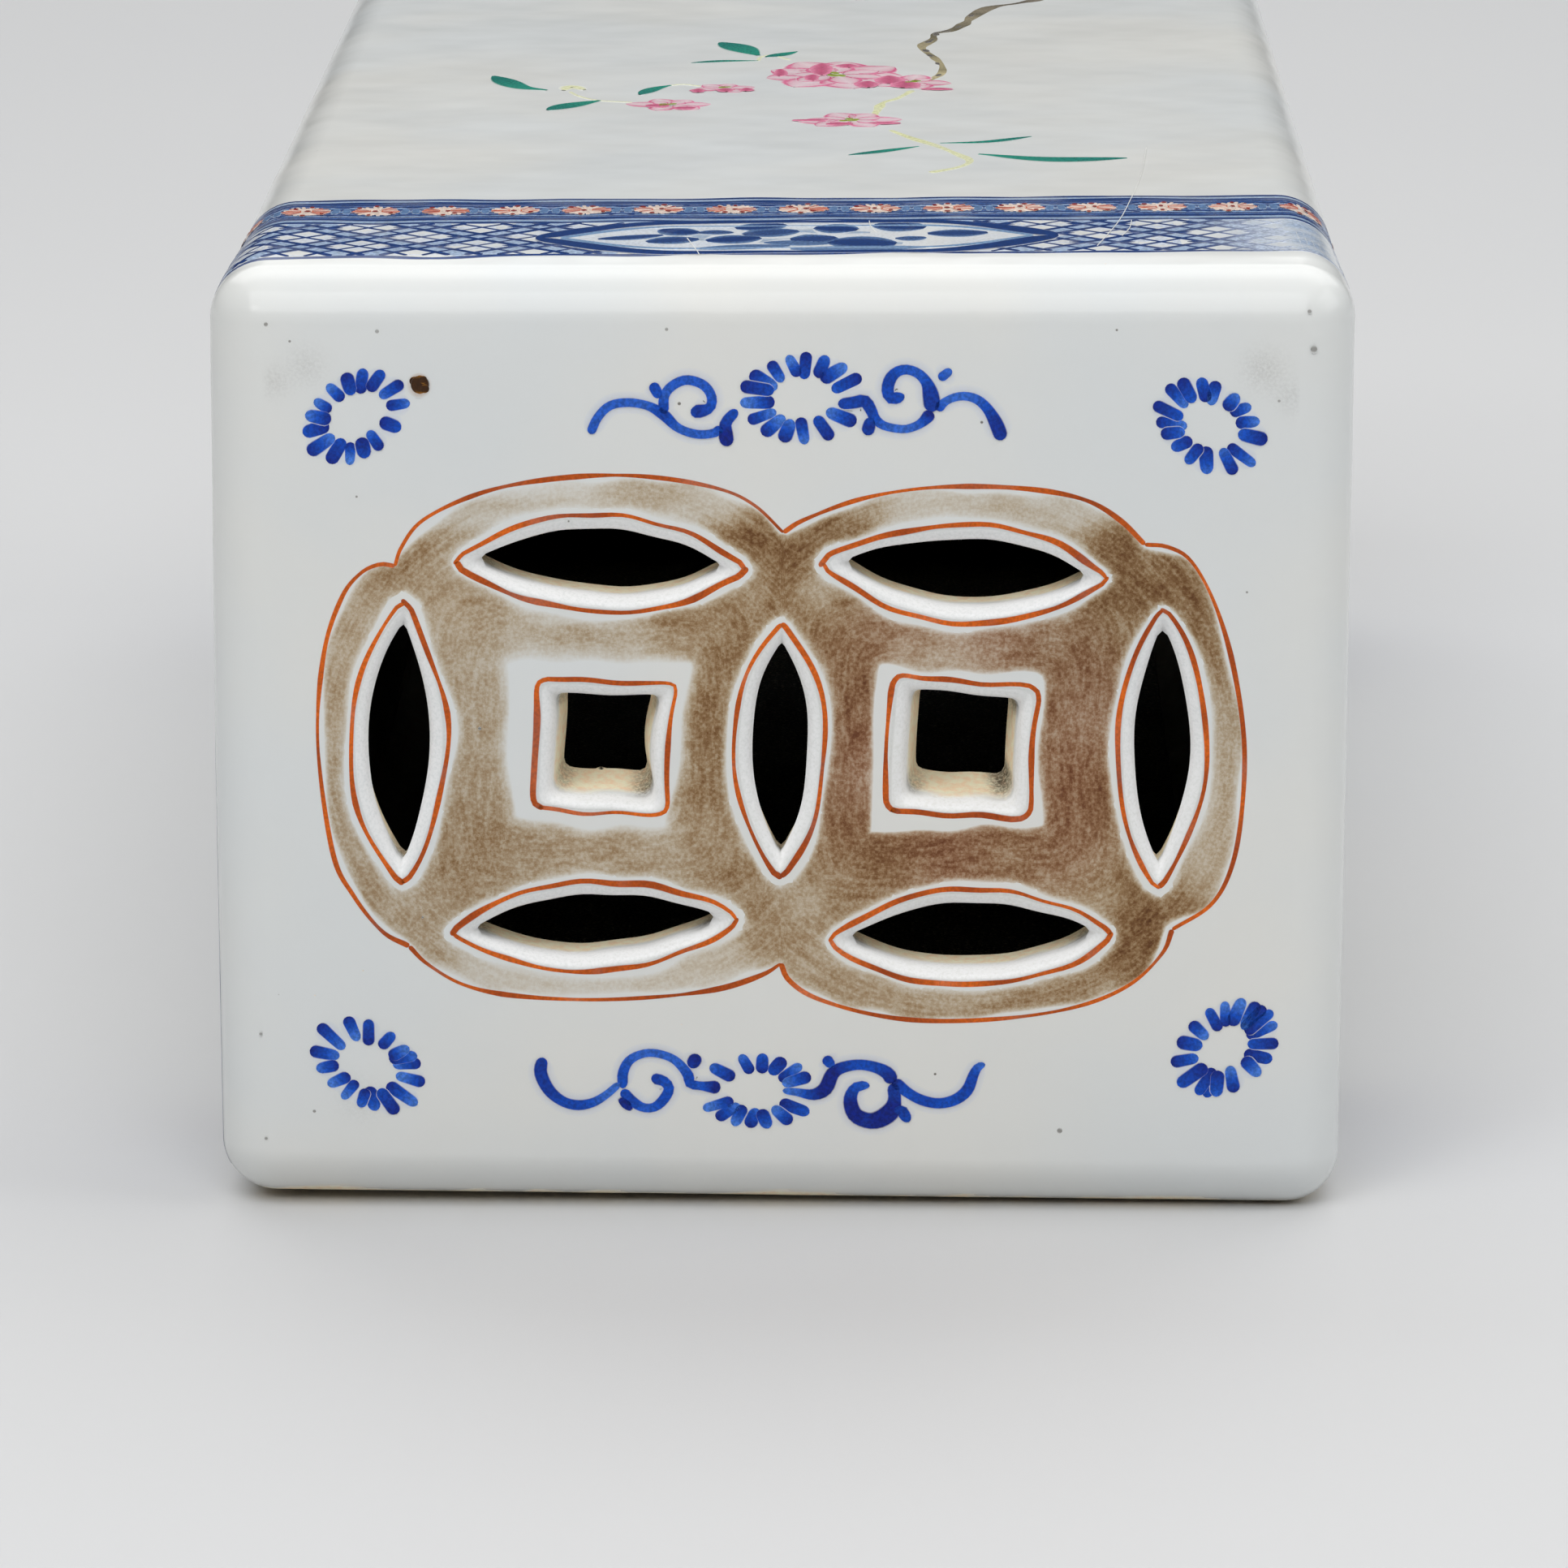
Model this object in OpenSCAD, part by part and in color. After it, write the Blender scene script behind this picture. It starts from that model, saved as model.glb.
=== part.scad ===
// Slab-built porcelain pillow: a hollow rounded box for resting the head on.
// Four wall slabs are mitred into a tube, two pierced slabs close its ends,
// slip lutes every seam, and coils of clay back the seams that a hand could reach.
// Units are millimetres. X is the width, Y the length, Z up. The origin is the middle of the base.

/* [Body] */
// Width over the side slabs
body_w = 140; // [120:1:180]
// Height from the base to the headrest
body_h = 120; // [100:1:150]
// Length over the two pierced ends
body_l = 330; // [240:1:420]
// Radius of every outside edge
edge_r = 7; // [4:0.5:8]

/* [Slabs] */
// Thickness of the four wall slabs
wall_t = 9; // [8:0.5:12]
// Thickness of the two end slabs
end_t = 9.5; // [8.5:0.5:12]

/* [Seams] */
// Thickness of the slip in a luted seam
lute_t = 0.8; // [0.4:0.1:1.5]
// Leg of the clay coil pressed into an inside corner
coil_leg = 6; // [4:0.5:8]
// Thickness of the smoothed edge of a coil
coil_lip = 0.6; // [0.4:0.1:1]

/* [Pierced ends] */
// Distance between the centres of the two coins
coin_pitch = 46; // [42:1:48]
// Length of a leaf-shaped hole at its neck
leaf_l = 29; // [24:1:31]
// Width of a leaf-shaped hole at its neck
leaf_w = 8; // [6:0.5:9]
// Side of a square hole at its neck
square_w = 12.5; // [9:0.5:14]
// Radius of the rounded lip of every hole
lip_r = 2.2; // [1:0.1:3]
// How much a hole narrows on each side, from its neck to the inside
hole_taper = 0.7; // [0.2:0.1:1.2]

/* [Hidden] */
$fn = 64;

porcelain = [0.90, 0.92, 0.91];
slip = [0.84, 0.84, 0.80];
biscuit = [0.80, 0.74, 0.63];

// The hollow inside the six slabs
inner_w = body_w - 2 * wall_t;
inner_h = body_h - 2 * wall_t;
inner_l = body_l - 2 * end_t;
// The wall slabs stop short of each end slab by one seam
wall_l = inner_l - 2 * lute_t;
// Half of a mitred seam, measured along the face that it meets at 45 degrees
mitre_gap = lute_t / 2 * sqrt(2);
// How far a cutting shape runs past what it cuts
past = 1;
// Middle height of the body, where the coins lie
mid_z = body_h / 2;
// A leaf is what two circles share: their radius, and each centre's distance from the leaf's middle
leaf_circle_r = (leaf_l * leaf_l + leaf_w * leaf_w) / (4 * leaf_w);
leaf_circle_x = leaf_circle_r - leaf_w / 2;

// Stands a flat X-Y drawing up as an X-Z section and pushes it along +Y from y0
module along_y(y0, length) {
    translate([0, y0 + length, 0]) rotate([90, 0, 0]) linear_extrude(length) children();
}

// Outline of the body seen from an end, standing on the X axis
module body_outline() {
    flat_w = body_w / 2 - edge_r;
    union() {
        translate([-body_w / 2, edge_r]) square([body_w, body_h - 2 * edge_r]);
        translate([-flat_w, 0]) square([2 * flat_w, body_h]);
        for (x = [-flat_w, flat_w], z = [edge_r, body_h - edge_r]) translate([x, z]) circle(edge_r);
    }
}

// Section of a wall slab that lies flat, cut at 45 degrees along both edges. Its outside is at y = 0.
module flat_slab_section() {
    outside = body_w / 2 - mitre_gap;
    polygon([[-outside, 0], [outside, 0], [outside - wall_t, wall_t], [wall_t - outside, wall_t]]);
}

// Section of a wall slab that stands up, cut the same way. Its outside is at x = 0.
module upright_slab_section() {
    foot = mitre_gap;
    polygon([[0, foot], [wall_t, foot + wall_t], [wall_t, body_h - foot - wall_t], [0, body_h - foot]]);
}

module top_section() {
    intersection() {
        body_outline();
        translate([0, body_h]) mirror([0, 1]) flat_slab_section();
    }
}

module base_section() {
    intersection() {
        body_outline();
        flat_slab_section();
    }
}

module left_section() {
    intersection() {
        body_outline();
        translate([-body_w / 2, 0]) upright_slab_section();
    }
}

module right_section() {
    mirror([1, 0]) left_section();
}

// Section of the slip between the base and the left side, along the mitre
module mitre_lute_section() {
    corner = [-body_w / 2, 0];
    intersection() {
        body_outline();
        translate(corner) polygon([
            [0, mitre_gap], [0, 0], [mitre_gap, 0],
            [wall_t + mitre_gap, wall_t], [wall_t, wall_t], [wall_t, wall_t + mitre_gap]
        ]);
    }
}

module at_top() {
    translate([0, body_h]) mirror([0, 1]) children();
}

// Section of a coil pressed into a corner whose two walls are the axes
module coil_section() {
    difference() {
        square(coil_leg);
        translate([coil_leg + coil_lip, coil_leg + coil_lip]) circle(coil_leg);
    }
}

// Wall slabs, all as long as the tube
module wall_slab() {
    color(porcelain) along_y(-wall_l / 2, wall_l) children();
}

module top_slab() { wall_slab() top_section(); }
module base_slab() { wall_slab() base_section(); }
module left_side_slab() { wall_slab() left_section(); }
module right_side_slab() { wall_slab() right_section(); }

// The front end slab without its holes: flat behind, with round edges and corners in front
module end_blank() {
    front = -body_l / 2;
    flat_w = body_w / 2 - edge_r;
    low = edge_r;
    high = body_h - edge_r;
    union() {
        along_y(front + edge_r, end_t - edge_r) body_outline();
        translate([-flat_w, front, low]) cube([2 * flat_w, edge_r, high - low]);
        intersection() {
            translate([-body_w, front, -body_h]) cube([2 * body_w, edge_r, 3 * body_h]);
            translate([0, front + edge_r, 0]) union() {
                for (z = [low, high]) translate([-flat_w, 0, z]) rotate([0, 90, 0]) cylinder(h = 2 * flat_w, r = edge_r);
                for (x = [-flat_w, flat_w]) translate([x, 0, low]) cylinder(h = high - low, r = edge_r);
                for (x = [-flat_w, flat_w], z = [low, high]) translate([x, 0, z]) sphere(edge_r);
            }
        }
    }
}

// Half of a hole's wall in section: x is the distance from the middle, y the depth from the inside.
// It narrows towards the inside, and opens over a round lip at the front.
module hole_profile(neck) {
    lip_start = end_t - lip_r;
    polygon([[0, -past], [neck - hole_taper, -past], [neck - hole_taper, 0], [neck, lip_start], [0, lip_start]]);
    difference() {
        translate([0, lip_start]) square([neck + lip_r, lip_r + past]);
        translate([neck + lip_r, lip_start]) circle(lip_r);
    }
}

// A leaf-shaped hole, upright, with its middle at the origin and its front facing -Y
module leaf_hole() {
    intersection_for(side = [-1, 1]) {
        translate([side * leaf_circle_x, end_t, 0]) rotate([90, 0, 0]) rotate_extrude() hole_profile(leaf_circle_r);
    }
}

// The two facing walls of a square hole, with the hole's front facing -Y
module square_walls() {
    long = square_w + 4 * lip_r;
    translate([0, end_t, -long / 2]) linear_extrude(long) mirror([0, 1]) {
        hole_profile(square_w / 2);
        mirror([1, 0]) hole_profile(square_w / 2);
    }
}

module square_hole() {
    intersection() {
        square_walls();
        rotate([0, 90, 0]) square_walls();
    }
}

// Two linked coins: a square in each, and leaves at their sides, tops and bottoms
module coin_holes() {
    half = coin_pitch / 2;
    for (x = [-half, half]) {
        translate([x, 0, 0]) square_hole();
        for (z = [-half, half]) translate([x, 0, z]) rotate([0, 90, 0]) leaf_hole();
    }
    for (x = [-coin_pitch, 0, coin_pitch]) translate([x, 0, 0]) leaf_hole();
}

module front_end_slab() {
    color(porcelain) difference() {
        end_blank();
        translate([0, -body_l / 2, mid_z]) coin_holes();
    }
}

module rear_end_slab() { mirror([0, 1, 0]) front_end_slab(); }

// Slip along the four mitres, from end slab to end slab
module mitre_lute() {
    color(slip) along_y(-inner_l / 2, inner_l) children();
}

module base_left_lute() { mitre_lute() mitre_lute_section(); }
module base_right_lute() { mirror([1, 0, 0]) base_left_lute(); }
module top_left_lute() { mitre_lute() at_top() mitre_lute_section(); }
module top_right_lute() { mirror([1, 0, 0]) top_left_lute(); }

// Slip between the front end slab and one wall slab
module end_lute() {
    color(slip) along_y(-inner_l / 2, lute_t) children();
}

module front_end_top_lute() { end_lute() top_section(); }
module front_end_base_lute() { end_lute() base_section(); }
module front_end_left_lute() { end_lute() left_section(); }
module front_end_right_lute() { end_lute() right_section(); }
module rear_end_top_lute() { mirror([0, 1, 0]) front_end_top_lute(); }
module rear_end_base_lute() { mirror([0, 1, 0]) front_end_base_lute(); }
module rear_end_left_lute() { mirror([0, 1, 0]) front_end_left_lute(); }
module rear_end_right_lute() { mirror([0, 1, 0]) front_end_right_lute(); }

// Coils in the four long corners, from the front end's coils to the rear end slab
module base_left_coil() {
    color(biscuit) along_y(coil_leg - inner_l / 2, inner_l - coil_leg)
        translate([-inner_w / 2, wall_t]) coil_section();
}

module base_right_coil() { mirror([1, 0, 0]) base_left_coil(); }

module top_left_coil() {
    translate([0, 0, body_h]) mirror([0, 0, 1]) base_left_coil();
}

module top_right_coil() { mirror([1, 0, 0]) top_left_coil(); }

// Coils round the inside of the front end. The rear end is closed last, so no hand can reach its seams.
module front_end_base_coil() {
    color(biscuit) translate([-inner_w / 2, -inner_l / 2, wall_t])
        rotate([90, 0, 90]) linear_extrude(inner_w) coil_section();
}

module front_end_top_coil() {
    translate([0, 0, body_h]) mirror([0, 0, 1]) front_end_base_coil();
}

module front_end_left_coil() {
    color(biscuit) translate([-inner_w / 2, -inner_l / 2, wall_t + coil_leg])
        linear_extrude(inner_h - 2 * coil_leg) coil_section();
}

module front_end_right_coil() { mirror([1, 0, 0]) front_end_left_coil(); }

top_slab();
base_slab();
left_side_slab();
right_side_slab();
front_end_slab();
rear_end_slab();
top_left_lute();
top_right_lute();
base_left_lute();
base_right_lute();
front_end_top_lute();
front_end_base_lute();
front_end_left_lute();
front_end_right_lute();
rear_end_top_lute();
rear_end_base_lute();
rear_end_left_lute();
rear_end_right_lute();
top_left_coil();
top_right_coil();
base_left_coil();
base_right_coil();
front_end_top_coil();
front_end_base_coil();
front_end_left_coil();
front_end_right_coil();
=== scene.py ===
"""Looks of a slab-built porcelain pillow: glazed walls, pierced ends and painted ornament.

Lengths are millimetres in the frame of the solids, and become metres where a mesh is made.
The front end faces -Y, X runs to the right as seen from the front, and Z runs up from the floor.
"""

import math

import bpy
import numpy as np
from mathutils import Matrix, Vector
from mathutils.geometry import delaunay_2d_cdt


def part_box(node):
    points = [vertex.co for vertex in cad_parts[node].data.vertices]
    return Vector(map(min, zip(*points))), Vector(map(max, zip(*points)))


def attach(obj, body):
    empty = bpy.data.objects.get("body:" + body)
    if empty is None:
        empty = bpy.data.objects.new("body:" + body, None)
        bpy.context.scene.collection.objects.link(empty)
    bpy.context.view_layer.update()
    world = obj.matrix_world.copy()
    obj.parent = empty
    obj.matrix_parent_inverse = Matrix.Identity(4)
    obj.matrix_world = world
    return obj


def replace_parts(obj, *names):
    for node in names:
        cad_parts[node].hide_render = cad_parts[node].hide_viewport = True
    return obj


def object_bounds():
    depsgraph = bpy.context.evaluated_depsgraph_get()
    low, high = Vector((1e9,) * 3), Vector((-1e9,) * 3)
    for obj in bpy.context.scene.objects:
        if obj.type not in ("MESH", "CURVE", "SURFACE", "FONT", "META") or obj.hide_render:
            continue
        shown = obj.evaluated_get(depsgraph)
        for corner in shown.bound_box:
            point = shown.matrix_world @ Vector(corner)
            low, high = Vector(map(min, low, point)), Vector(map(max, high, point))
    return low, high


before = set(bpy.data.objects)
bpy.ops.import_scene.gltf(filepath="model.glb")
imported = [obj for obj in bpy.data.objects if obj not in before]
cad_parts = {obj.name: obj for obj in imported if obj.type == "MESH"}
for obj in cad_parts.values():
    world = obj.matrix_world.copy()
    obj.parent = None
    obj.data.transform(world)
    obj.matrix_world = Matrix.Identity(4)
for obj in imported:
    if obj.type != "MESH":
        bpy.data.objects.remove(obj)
cad_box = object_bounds()

MM = 0.001


def size_of(node):
    """Width, depth and height of a solid, in millimetres."""
    low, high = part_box(node)
    return np.array(high - low) / MM


BODY_W, BODY_L, BODY_H = np.array(cad_box[1] - cad_box[0]) / MM
END_T = size_of("front_end_slab")[1]
WALL_T = size_of("top_slab")[2]
# Radii of the body's rounded edges and of the openings' rolled lips.
EDGE_R = 7.0
LIP_R = 2.2
FRONT = -BODY_L / 2

# The skin is unrolled round the body: s is the way round from the middle of the top, to the right.
FLAT = BODY_W / 2 - EDGE_R
QUARTER = math.pi / 2 * EDGE_R
UPRIGHT = BODY_H - 2 * EDGE_R
TO_SIDE = FLAT + QUARTER / 2
TO_BASE = FLAT + QUARTER * 1.5 + UPRIGHT
HALF_ROUND = 2 * FLAT + 2 * QUARTER + UPRIGHT
MID_SIDE = FLAT + QUARTER + UPRIGHT / 2

# Steps of the meshes: along the skin, round an edge and on the flat of an end.
SKIN_STEP = 1.9
EDGE_STEPS = 12
FACE_STEP = 1.1

# How far the fired body has gone out of shape.
LEFT_LEAN_HIGH = 0.45
LEFT_LEAN_BEHIND = 0.95
RIGHT_LEAN_BEHIND = 0.7
FOOT_LIFT = 1.0
LEFT_SINK = 0.5
# The sides lean from this far off the middle, and fully from this far behind the front.
LEAN_FROM = 25.0
LEAN_REACH = 45.0
# The lifted foot dies away over this height and length.
LIFT_HEIGHT = 40.0
LIFT_LENGTH = 90.0
# The skin stays this far inside the solids, so that its ripples and paint do too.
SHRINK = 0.212
# The flat of an end turns in this much where it nears its edges, over about this reach.
END_EASE = 1.6
EASE_REACH = 4.0
# The top turns down this much on its way to the ends, from this far off them and over this reach.
TOP_EASE = 0.7
TOP_EASE_FROM = 12.5
TOP_EASE_REACH = 8.0
# Heights of the ripples in the glaze, round the body and on its ends.
RIPPLE = 0.016
RIPPLE_END = 0.008

# A film of paint is this thick, and its rim goes this far into what is under it.
FILM = 0.022
RIM = 0.03
# Paint this dense hides the glaze under it.
THICK = 1.15


def srgb(red, green, blue):
    """A colour given as 0 to 255 on a screen, as linear light."""
    share = np.array([red, green, blue]) / 255
    return np.where(share <= 0.04045, share / 12.92, ((share + 0.055) / 1.055) ** 2.4)


# The share of full light that the studio throws on the front.
# With it, each paint can be named by how it looks there.
FRONT_LIGHT = 0.78


def seen(red, green, blue):
    """The paint that looks like this colour on the lit front."""
    return np.minimum(srgb(red, green, blue) / FRONT_LIGHT, 0.95)


GLAZE_COOL = seen(201, 204, 204)
GLAZE_WARM = seen(206, 206, 202)
# Near white for the lips of the openings: partly pooled glaze, partly painted light.
POOLED_AND_LIT_WHITE = seen(250, 250, 247)
CLAY = seen(242, 218, 192)
CLAY_DARK = seen(228, 198, 166)
STAINED = seen(166, 132, 96)
# Dark brown: real soil and specks, and also the painted shade in the corners of the openings.
DIRT_AND_SHADE = seen(62, 52, 38)
# Near black: painted shade for the inside of the body and for the coils there.
INSIDE_SHADE = seen(16, 15, 14)
COBALT_DEEP = seen(0, 26, 116)
COBALT = seen(2, 66, 166)
COBALT_PALE = seen(62, 110, 192)
BAND_BLUE = seen(10, 48, 104)
BAND_WASH = seen(44, 78, 128)
BAND_PALE = seen(108, 136, 168)
BAND_MIST = seen(178, 187, 202)
STRAP_BLUE = seen(142, 160, 184)
IRON_RED = seen(200, 92, 14)
IRON_DARK = seen(142, 56, 8)
IRON_SPOT = seen(52, 28, 4)
AMBER = seen(140, 92, 24)
CORAL = seen(178, 84, 48)
CORAL_DARK = seen(122, 26, 12)
CREAM = seen(198, 180, 168)
PINK = seen(168, 40, 92)
PINK_ROSE = seen(202, 112, 144)
LEAF_GREEN = seen(20, 122, 104)
LEAF_DARK = seen(6, 104, 94)
STEM_GREEN = seen(197, 198, 156)
MOSS = seen(128, 140, 52)
BARK_FAR = seen(58, 54, 76)
BARK = seen(108, 100, 84)
BARK_NEAR = seen(156, 146, 112)
KNOT = seen(66, 58, 50)
# A painted highlight: the light that the scratches on the top catch.
SCRATCH_GLINT = seen(218, 218, 214)
# What one layer of the sepia wash lets through of red, green and blue light.
OLIVE_STAIN = np.array([0.645, 0.512, 0.37])
BROWN_STAIN = np.array([0.65, 0.488, 0.37])


def smooth(t):
    """0 below 0, 1 above 1, and an even rise between."""
    t = np.clip(t, 0, 1)
    return t * t * (3 - 2 * t)


def between(first, last, share):
    """The colour at some share of the way from one to another, or one for each share."""
    return first + (last - first) * np.asarray(share)[..., None]


def ramp(first, middle, last, share):
    """Colours that go from the first through the middle one to the last as share goes from 0 to 1."""
    half_way = between(first, middle, np.clip(2 * share, 0, 1))
    return between(half_way, last, np.clip(2 * share - 1, 0, 1))


def waves(seed, count, shortest, longest):
    """Wave vectors and phases whose sum is a smooth unevenness, the same on each run."""
    rng = np.random.default_rng(seed)
    heading = rng.normal(size=(count, 3))
    heading /= np.linalg.norm(heading, axis=1, keepdims=True)
    number = 2 * math.pi / rng.uniform(shortest, longest, (count, 1))
    return heading * number, rng.uniform(0, 2 * math.pi, count)


def unevenness(points, pattern):
    """The sum of waves at some points, mostly between -1 and 1."""
    vectors, phases = pattern
    return np.sin(points @ vectors.T + phases).sum(axis=-1) / math.sqrt(len(phases))


def swing_at(flat, pattern, height=0.0):
    """The unevenness at the points of a flat drawing, taken at some height in the pattern."""
    return unevenness(np.concatenate([flat, np.full((len(flat), 1), height)], axis=1), pattern)


RIPPLES = waves(11, 24, 6, 24)
WOBBLE = waves(5, 8, 6, 18)
PATCHY = waves(23, 8, 5, 22)


def on_tube(s, y):
    """The ideal skin round the body, with its rounded ends: points and outward normals."""
    side = np.sign(s)
    way = np.abs(s)
    first = np.clip(way - FLAT, 0, QUARTER)
    second = np.clip(way - FLAT - QUARTER - UPRIGHT, 0, QUARTER)
    turn = (first + second) / EDGE_R
    x = np.clip(way, 0, FLAT) - np.clip(way - FLAT - 2 * QUARTER - UPRIGHT, 0, FLAT)
    z = BODY_H - EDGE_R - np.clip(way - FLAT - QUARTER, 0, UPRIGHT)
    core_end = BODY_L / 2 - EDGE_R
    tilt = np.clip((np.abs(y) - core_end) / EDGE_R, 0, 1)
    reach = np.sqrt(1 - tilt**2)
    normals = np.stack([side * np.sin(turn) * reach, np.sign(y) * tilt, np.cos(turn) * reach], -1)
    core = np.stack([side * x, np.clip(y, -core_end, core_end), z], -1)
    return core + EDGE_R * normals, normals


def on_front(x, z):
    """The flat of the front end: points and outward normals."""
    points = np.stack([x, np.full_like(x, FRONT), z], -1)
    return points, np.broadcast_to([0.0, -1.0, 0.0], points.shape).copy()


def turned(points, normals):
    """The same place on the other end, half a turn round the upright axis."""
    half_turn = np.array([-1.0, -1.0, 1.0])
    return points * half_turn, normals * half_turn


def on_rear(x, z):
    """The flat of the rear end, with x to the right as seen from behind."""
    return turned(*on_front(x, z))


def pulled(points, normals):
    """Ideal points as they stand after firing: leaning, lifted at a corner and rippled."""
    x, y, z = points.T
    high = 2 * z / BODY_H - 1
    high_part = np.maximum(high, 0)
    leftness = np.clip(0.5 - x / BODY_W, 0, 1)
    behind = smooth((y - FRONT) / LEAN_REACH)
    left = smooth((-x - LEAN_FROM) / (BODY_W / 2 - LEAN_FROM))
    right = smooth((x - LEAN_FROM) / (BODY_W / 2 - LEAN_FROM))
    lean_left = (LEFT_LEAN_HIGH + LEFT_LEAN_BEHIND * behind) * high_part
    lean_right = RIGHT_LEAN_BEHIND * behind * high_part
    lift = FOOT_LIFT * leftness * smooth(1 - z / LIFT_HEIGHT) * smooth(1 - (y - FRONT) / LIFT_LENGTH)
    up = np.maximum(normals[:, 2], 0)
    ends = normals[:, 1] ** 2
    strength = RIPPLE + (RIPPLE_END - RIPPLE) * ends
    moved = points + normals * (strength * unevenness(points, RIPPLES) - SHRINK)[:, None]
    to_edges = np.stack([BODY_W / 2 - np.abs(x), z, BODY_H - z])
    ease = END_EASE * np.exp(-to_edges / EASE_REACH).sum(axis=0) * ends
    moved[:, 0] += left * lean_left - right * lean_right
    moved[:, 1] -= np.sign(y) * ease
    moved[:, 2] += lift - LEFT_SINK * leftness * high_part
    moved[:, 2] -= TOP_EASE * smooth((TOP_EASE_FROM + np.abs(y) - BODY_L / 2) / TOP_EASE_REACH) * up
    return moved


def fired(points, normals):
    """Points after firing, with the normals of the uneven skin."""
    step = 0.4
    least = np.argmin(np.abs(normals), axis=1)
    first = np.cross(normals, np.eye(3)[least])
    first /= np.linalg.norm(first, axis=1, keepdims=True)
    second = np.cross(normals, first)
    here = pulled(points, normals)
    along = pulled(points + step * first, normals) - here
    across = pulled(points + step * second, normals) - here
    tilted = np.cross(along, across)
    return here, tilted / np.linalg.norm(tilted, axis=1, keepdims=True)


# How a mesh stores what it holds for its material.
STORED = {
    "paint": ("FLOAT_COLOR", "color"),
    "brush": ("FLOAT_VECTOR", "vector"),
    "bare": ("FLOAT", "value"),
}


def make_piece(name, points, faces, corner_normals, material, **attributes):
    """A piece of the object from points in millimetres, with a normal for each corner of each face."""
    mesh = bpy.data.meshes.new(name)
    mesh.from_pydata((points * MM).tolist(), [], faces)
    mesh.polygons.foreach_set("use_smooth", [True] * len(mesh.polygons))
    mesh.normals_split_custom_set(corner_normals.tolist())
    for attribute, values in attributes.items():
        kind, field = STORED[attribute]
        held = mesh.attributes.new(attribute, kind, "POINT")
        held.data.foreach_set(field, np.asarray(values, np.float32).ravel())
    mesh.materials.append(material)
    piece = bpy.data.objects.new(name, mesh)
    bpy.context.scene.collection.objects.link(piece)
    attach(piece, "root")
    return piece


class Shell:
    """A wall put together from patches, welded where their ideal points meet."""

    def __init__(self):
        self.points, self.normals, self.faces = [], [], []
        self.bare, self.paint = [], []
        self.count = 0

    def add(self, points, normals, faces, bare=None, paint=None):
        """One patch; bare is the share of unglazed clay, paint is a colour and its density."""
        many = len(points)
        self.points.append(points)
        self.normals.append(normals)
        self.faces += [[corner + self.count for corner in face] for face in faces]
        self.bare.append(foot(points) if bare is None else bare)
        self.paint.append(np.zeros((many, 4)) if paint is None else paint)
        self.count += many

    def finish(self, name, material, turn=False):
        """Welds, fires and makes the piece."""
        points, normals = np.concatenate(self.points), np.concatenate(self.normals)
        if turn:
            points, normals = turned(points, normals)
        _, kept, new = np.unique(points.round(3), axis=0, return_index=True, return_inverse=True)
        new = new.ravel()
        moved, leaned = fired(points, normals)
        faces, corner_normals = [], []
        for face in self.faces:
            corners = [c for i, c in enumerate(face) if new[c] != new[face[i - 1]]]
            if len(corners) > 2:
                faces.append([int(new[c]) for c in corners])
                corner_normals += corners
        return make_piece(
            name, moved[kept], faces, leaned[corner_normals], material,
            bare=np.concatenate(self.bare)[kept],
            paint=np.concatenate(self.paint)[kept],
        )


def painted_inside_shade(count):
    """Painted shade for the inside of the body: near black paint."""
    return np.tile([*INSIDE_SHADE, 1.0], (count, 1))


# The glaze stops about this high over the foot, and fades into clay over this much.
GLAZE_FOOT = 1.0
GLAZE_FADE = 0.7


def foot(points):
    """Unglazed clay where the body stands, with an uneven edge to the glaze."""
    edge = GLAZE_FOOT + 0.5 * np.maximum(unevenness(points, WOBBLE), -0.5)
    return smooth((edge - points[:, 2]) / GLAZE_FADE)


def grid_faces(rows, columns, closed=False):
    """Quads of a grid of points that is stored row by row. Each row may close to a ring."""
    faces = []
    for start in range(0, (rows - 1) * columns, columns):
        for c in range(columns if closed else columns - 1):
            beside = (c + 1) % columns
            faces.append([start + c, start + beside, start + columns + beside, start + columns + c])
    return faces


def spans(*stops_and_counts):
    """Evenly spaced values through some stops: start, count, stop, count, stop and so on."""
    stops, counts = stops_and_counts[0::2], stops_and_counts[1::2]
    parts = [np.linspace(a, b, n + 1)[:-1] for a, b, n in zip(stops, stops[1:], counts)]
    return np.concatenate([*parts, [stops[-1]]])


def steps_of(length, step):
    """How many steps of about this size go into a length."""
    return max(1, round(length / step))


HALF_GRID = spans(
    0, steps_of(FLAT, SKIN_STEP), FLAT, EDGE_STEPS, FLAT + QUARTER, steps_of(UPRIGHT, SKIN_STEP),
    FLAT + QUARTER + UPRIGHT, EDGE_STEPS, HALF_ROUND - FLAT, steps_of(FLAT, SKIN_STEP), HALF_ROUND,
)
ROUND_GRID = np.concatenate([-HALF_GRID[:0:-1], HALF_GRID])


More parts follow.
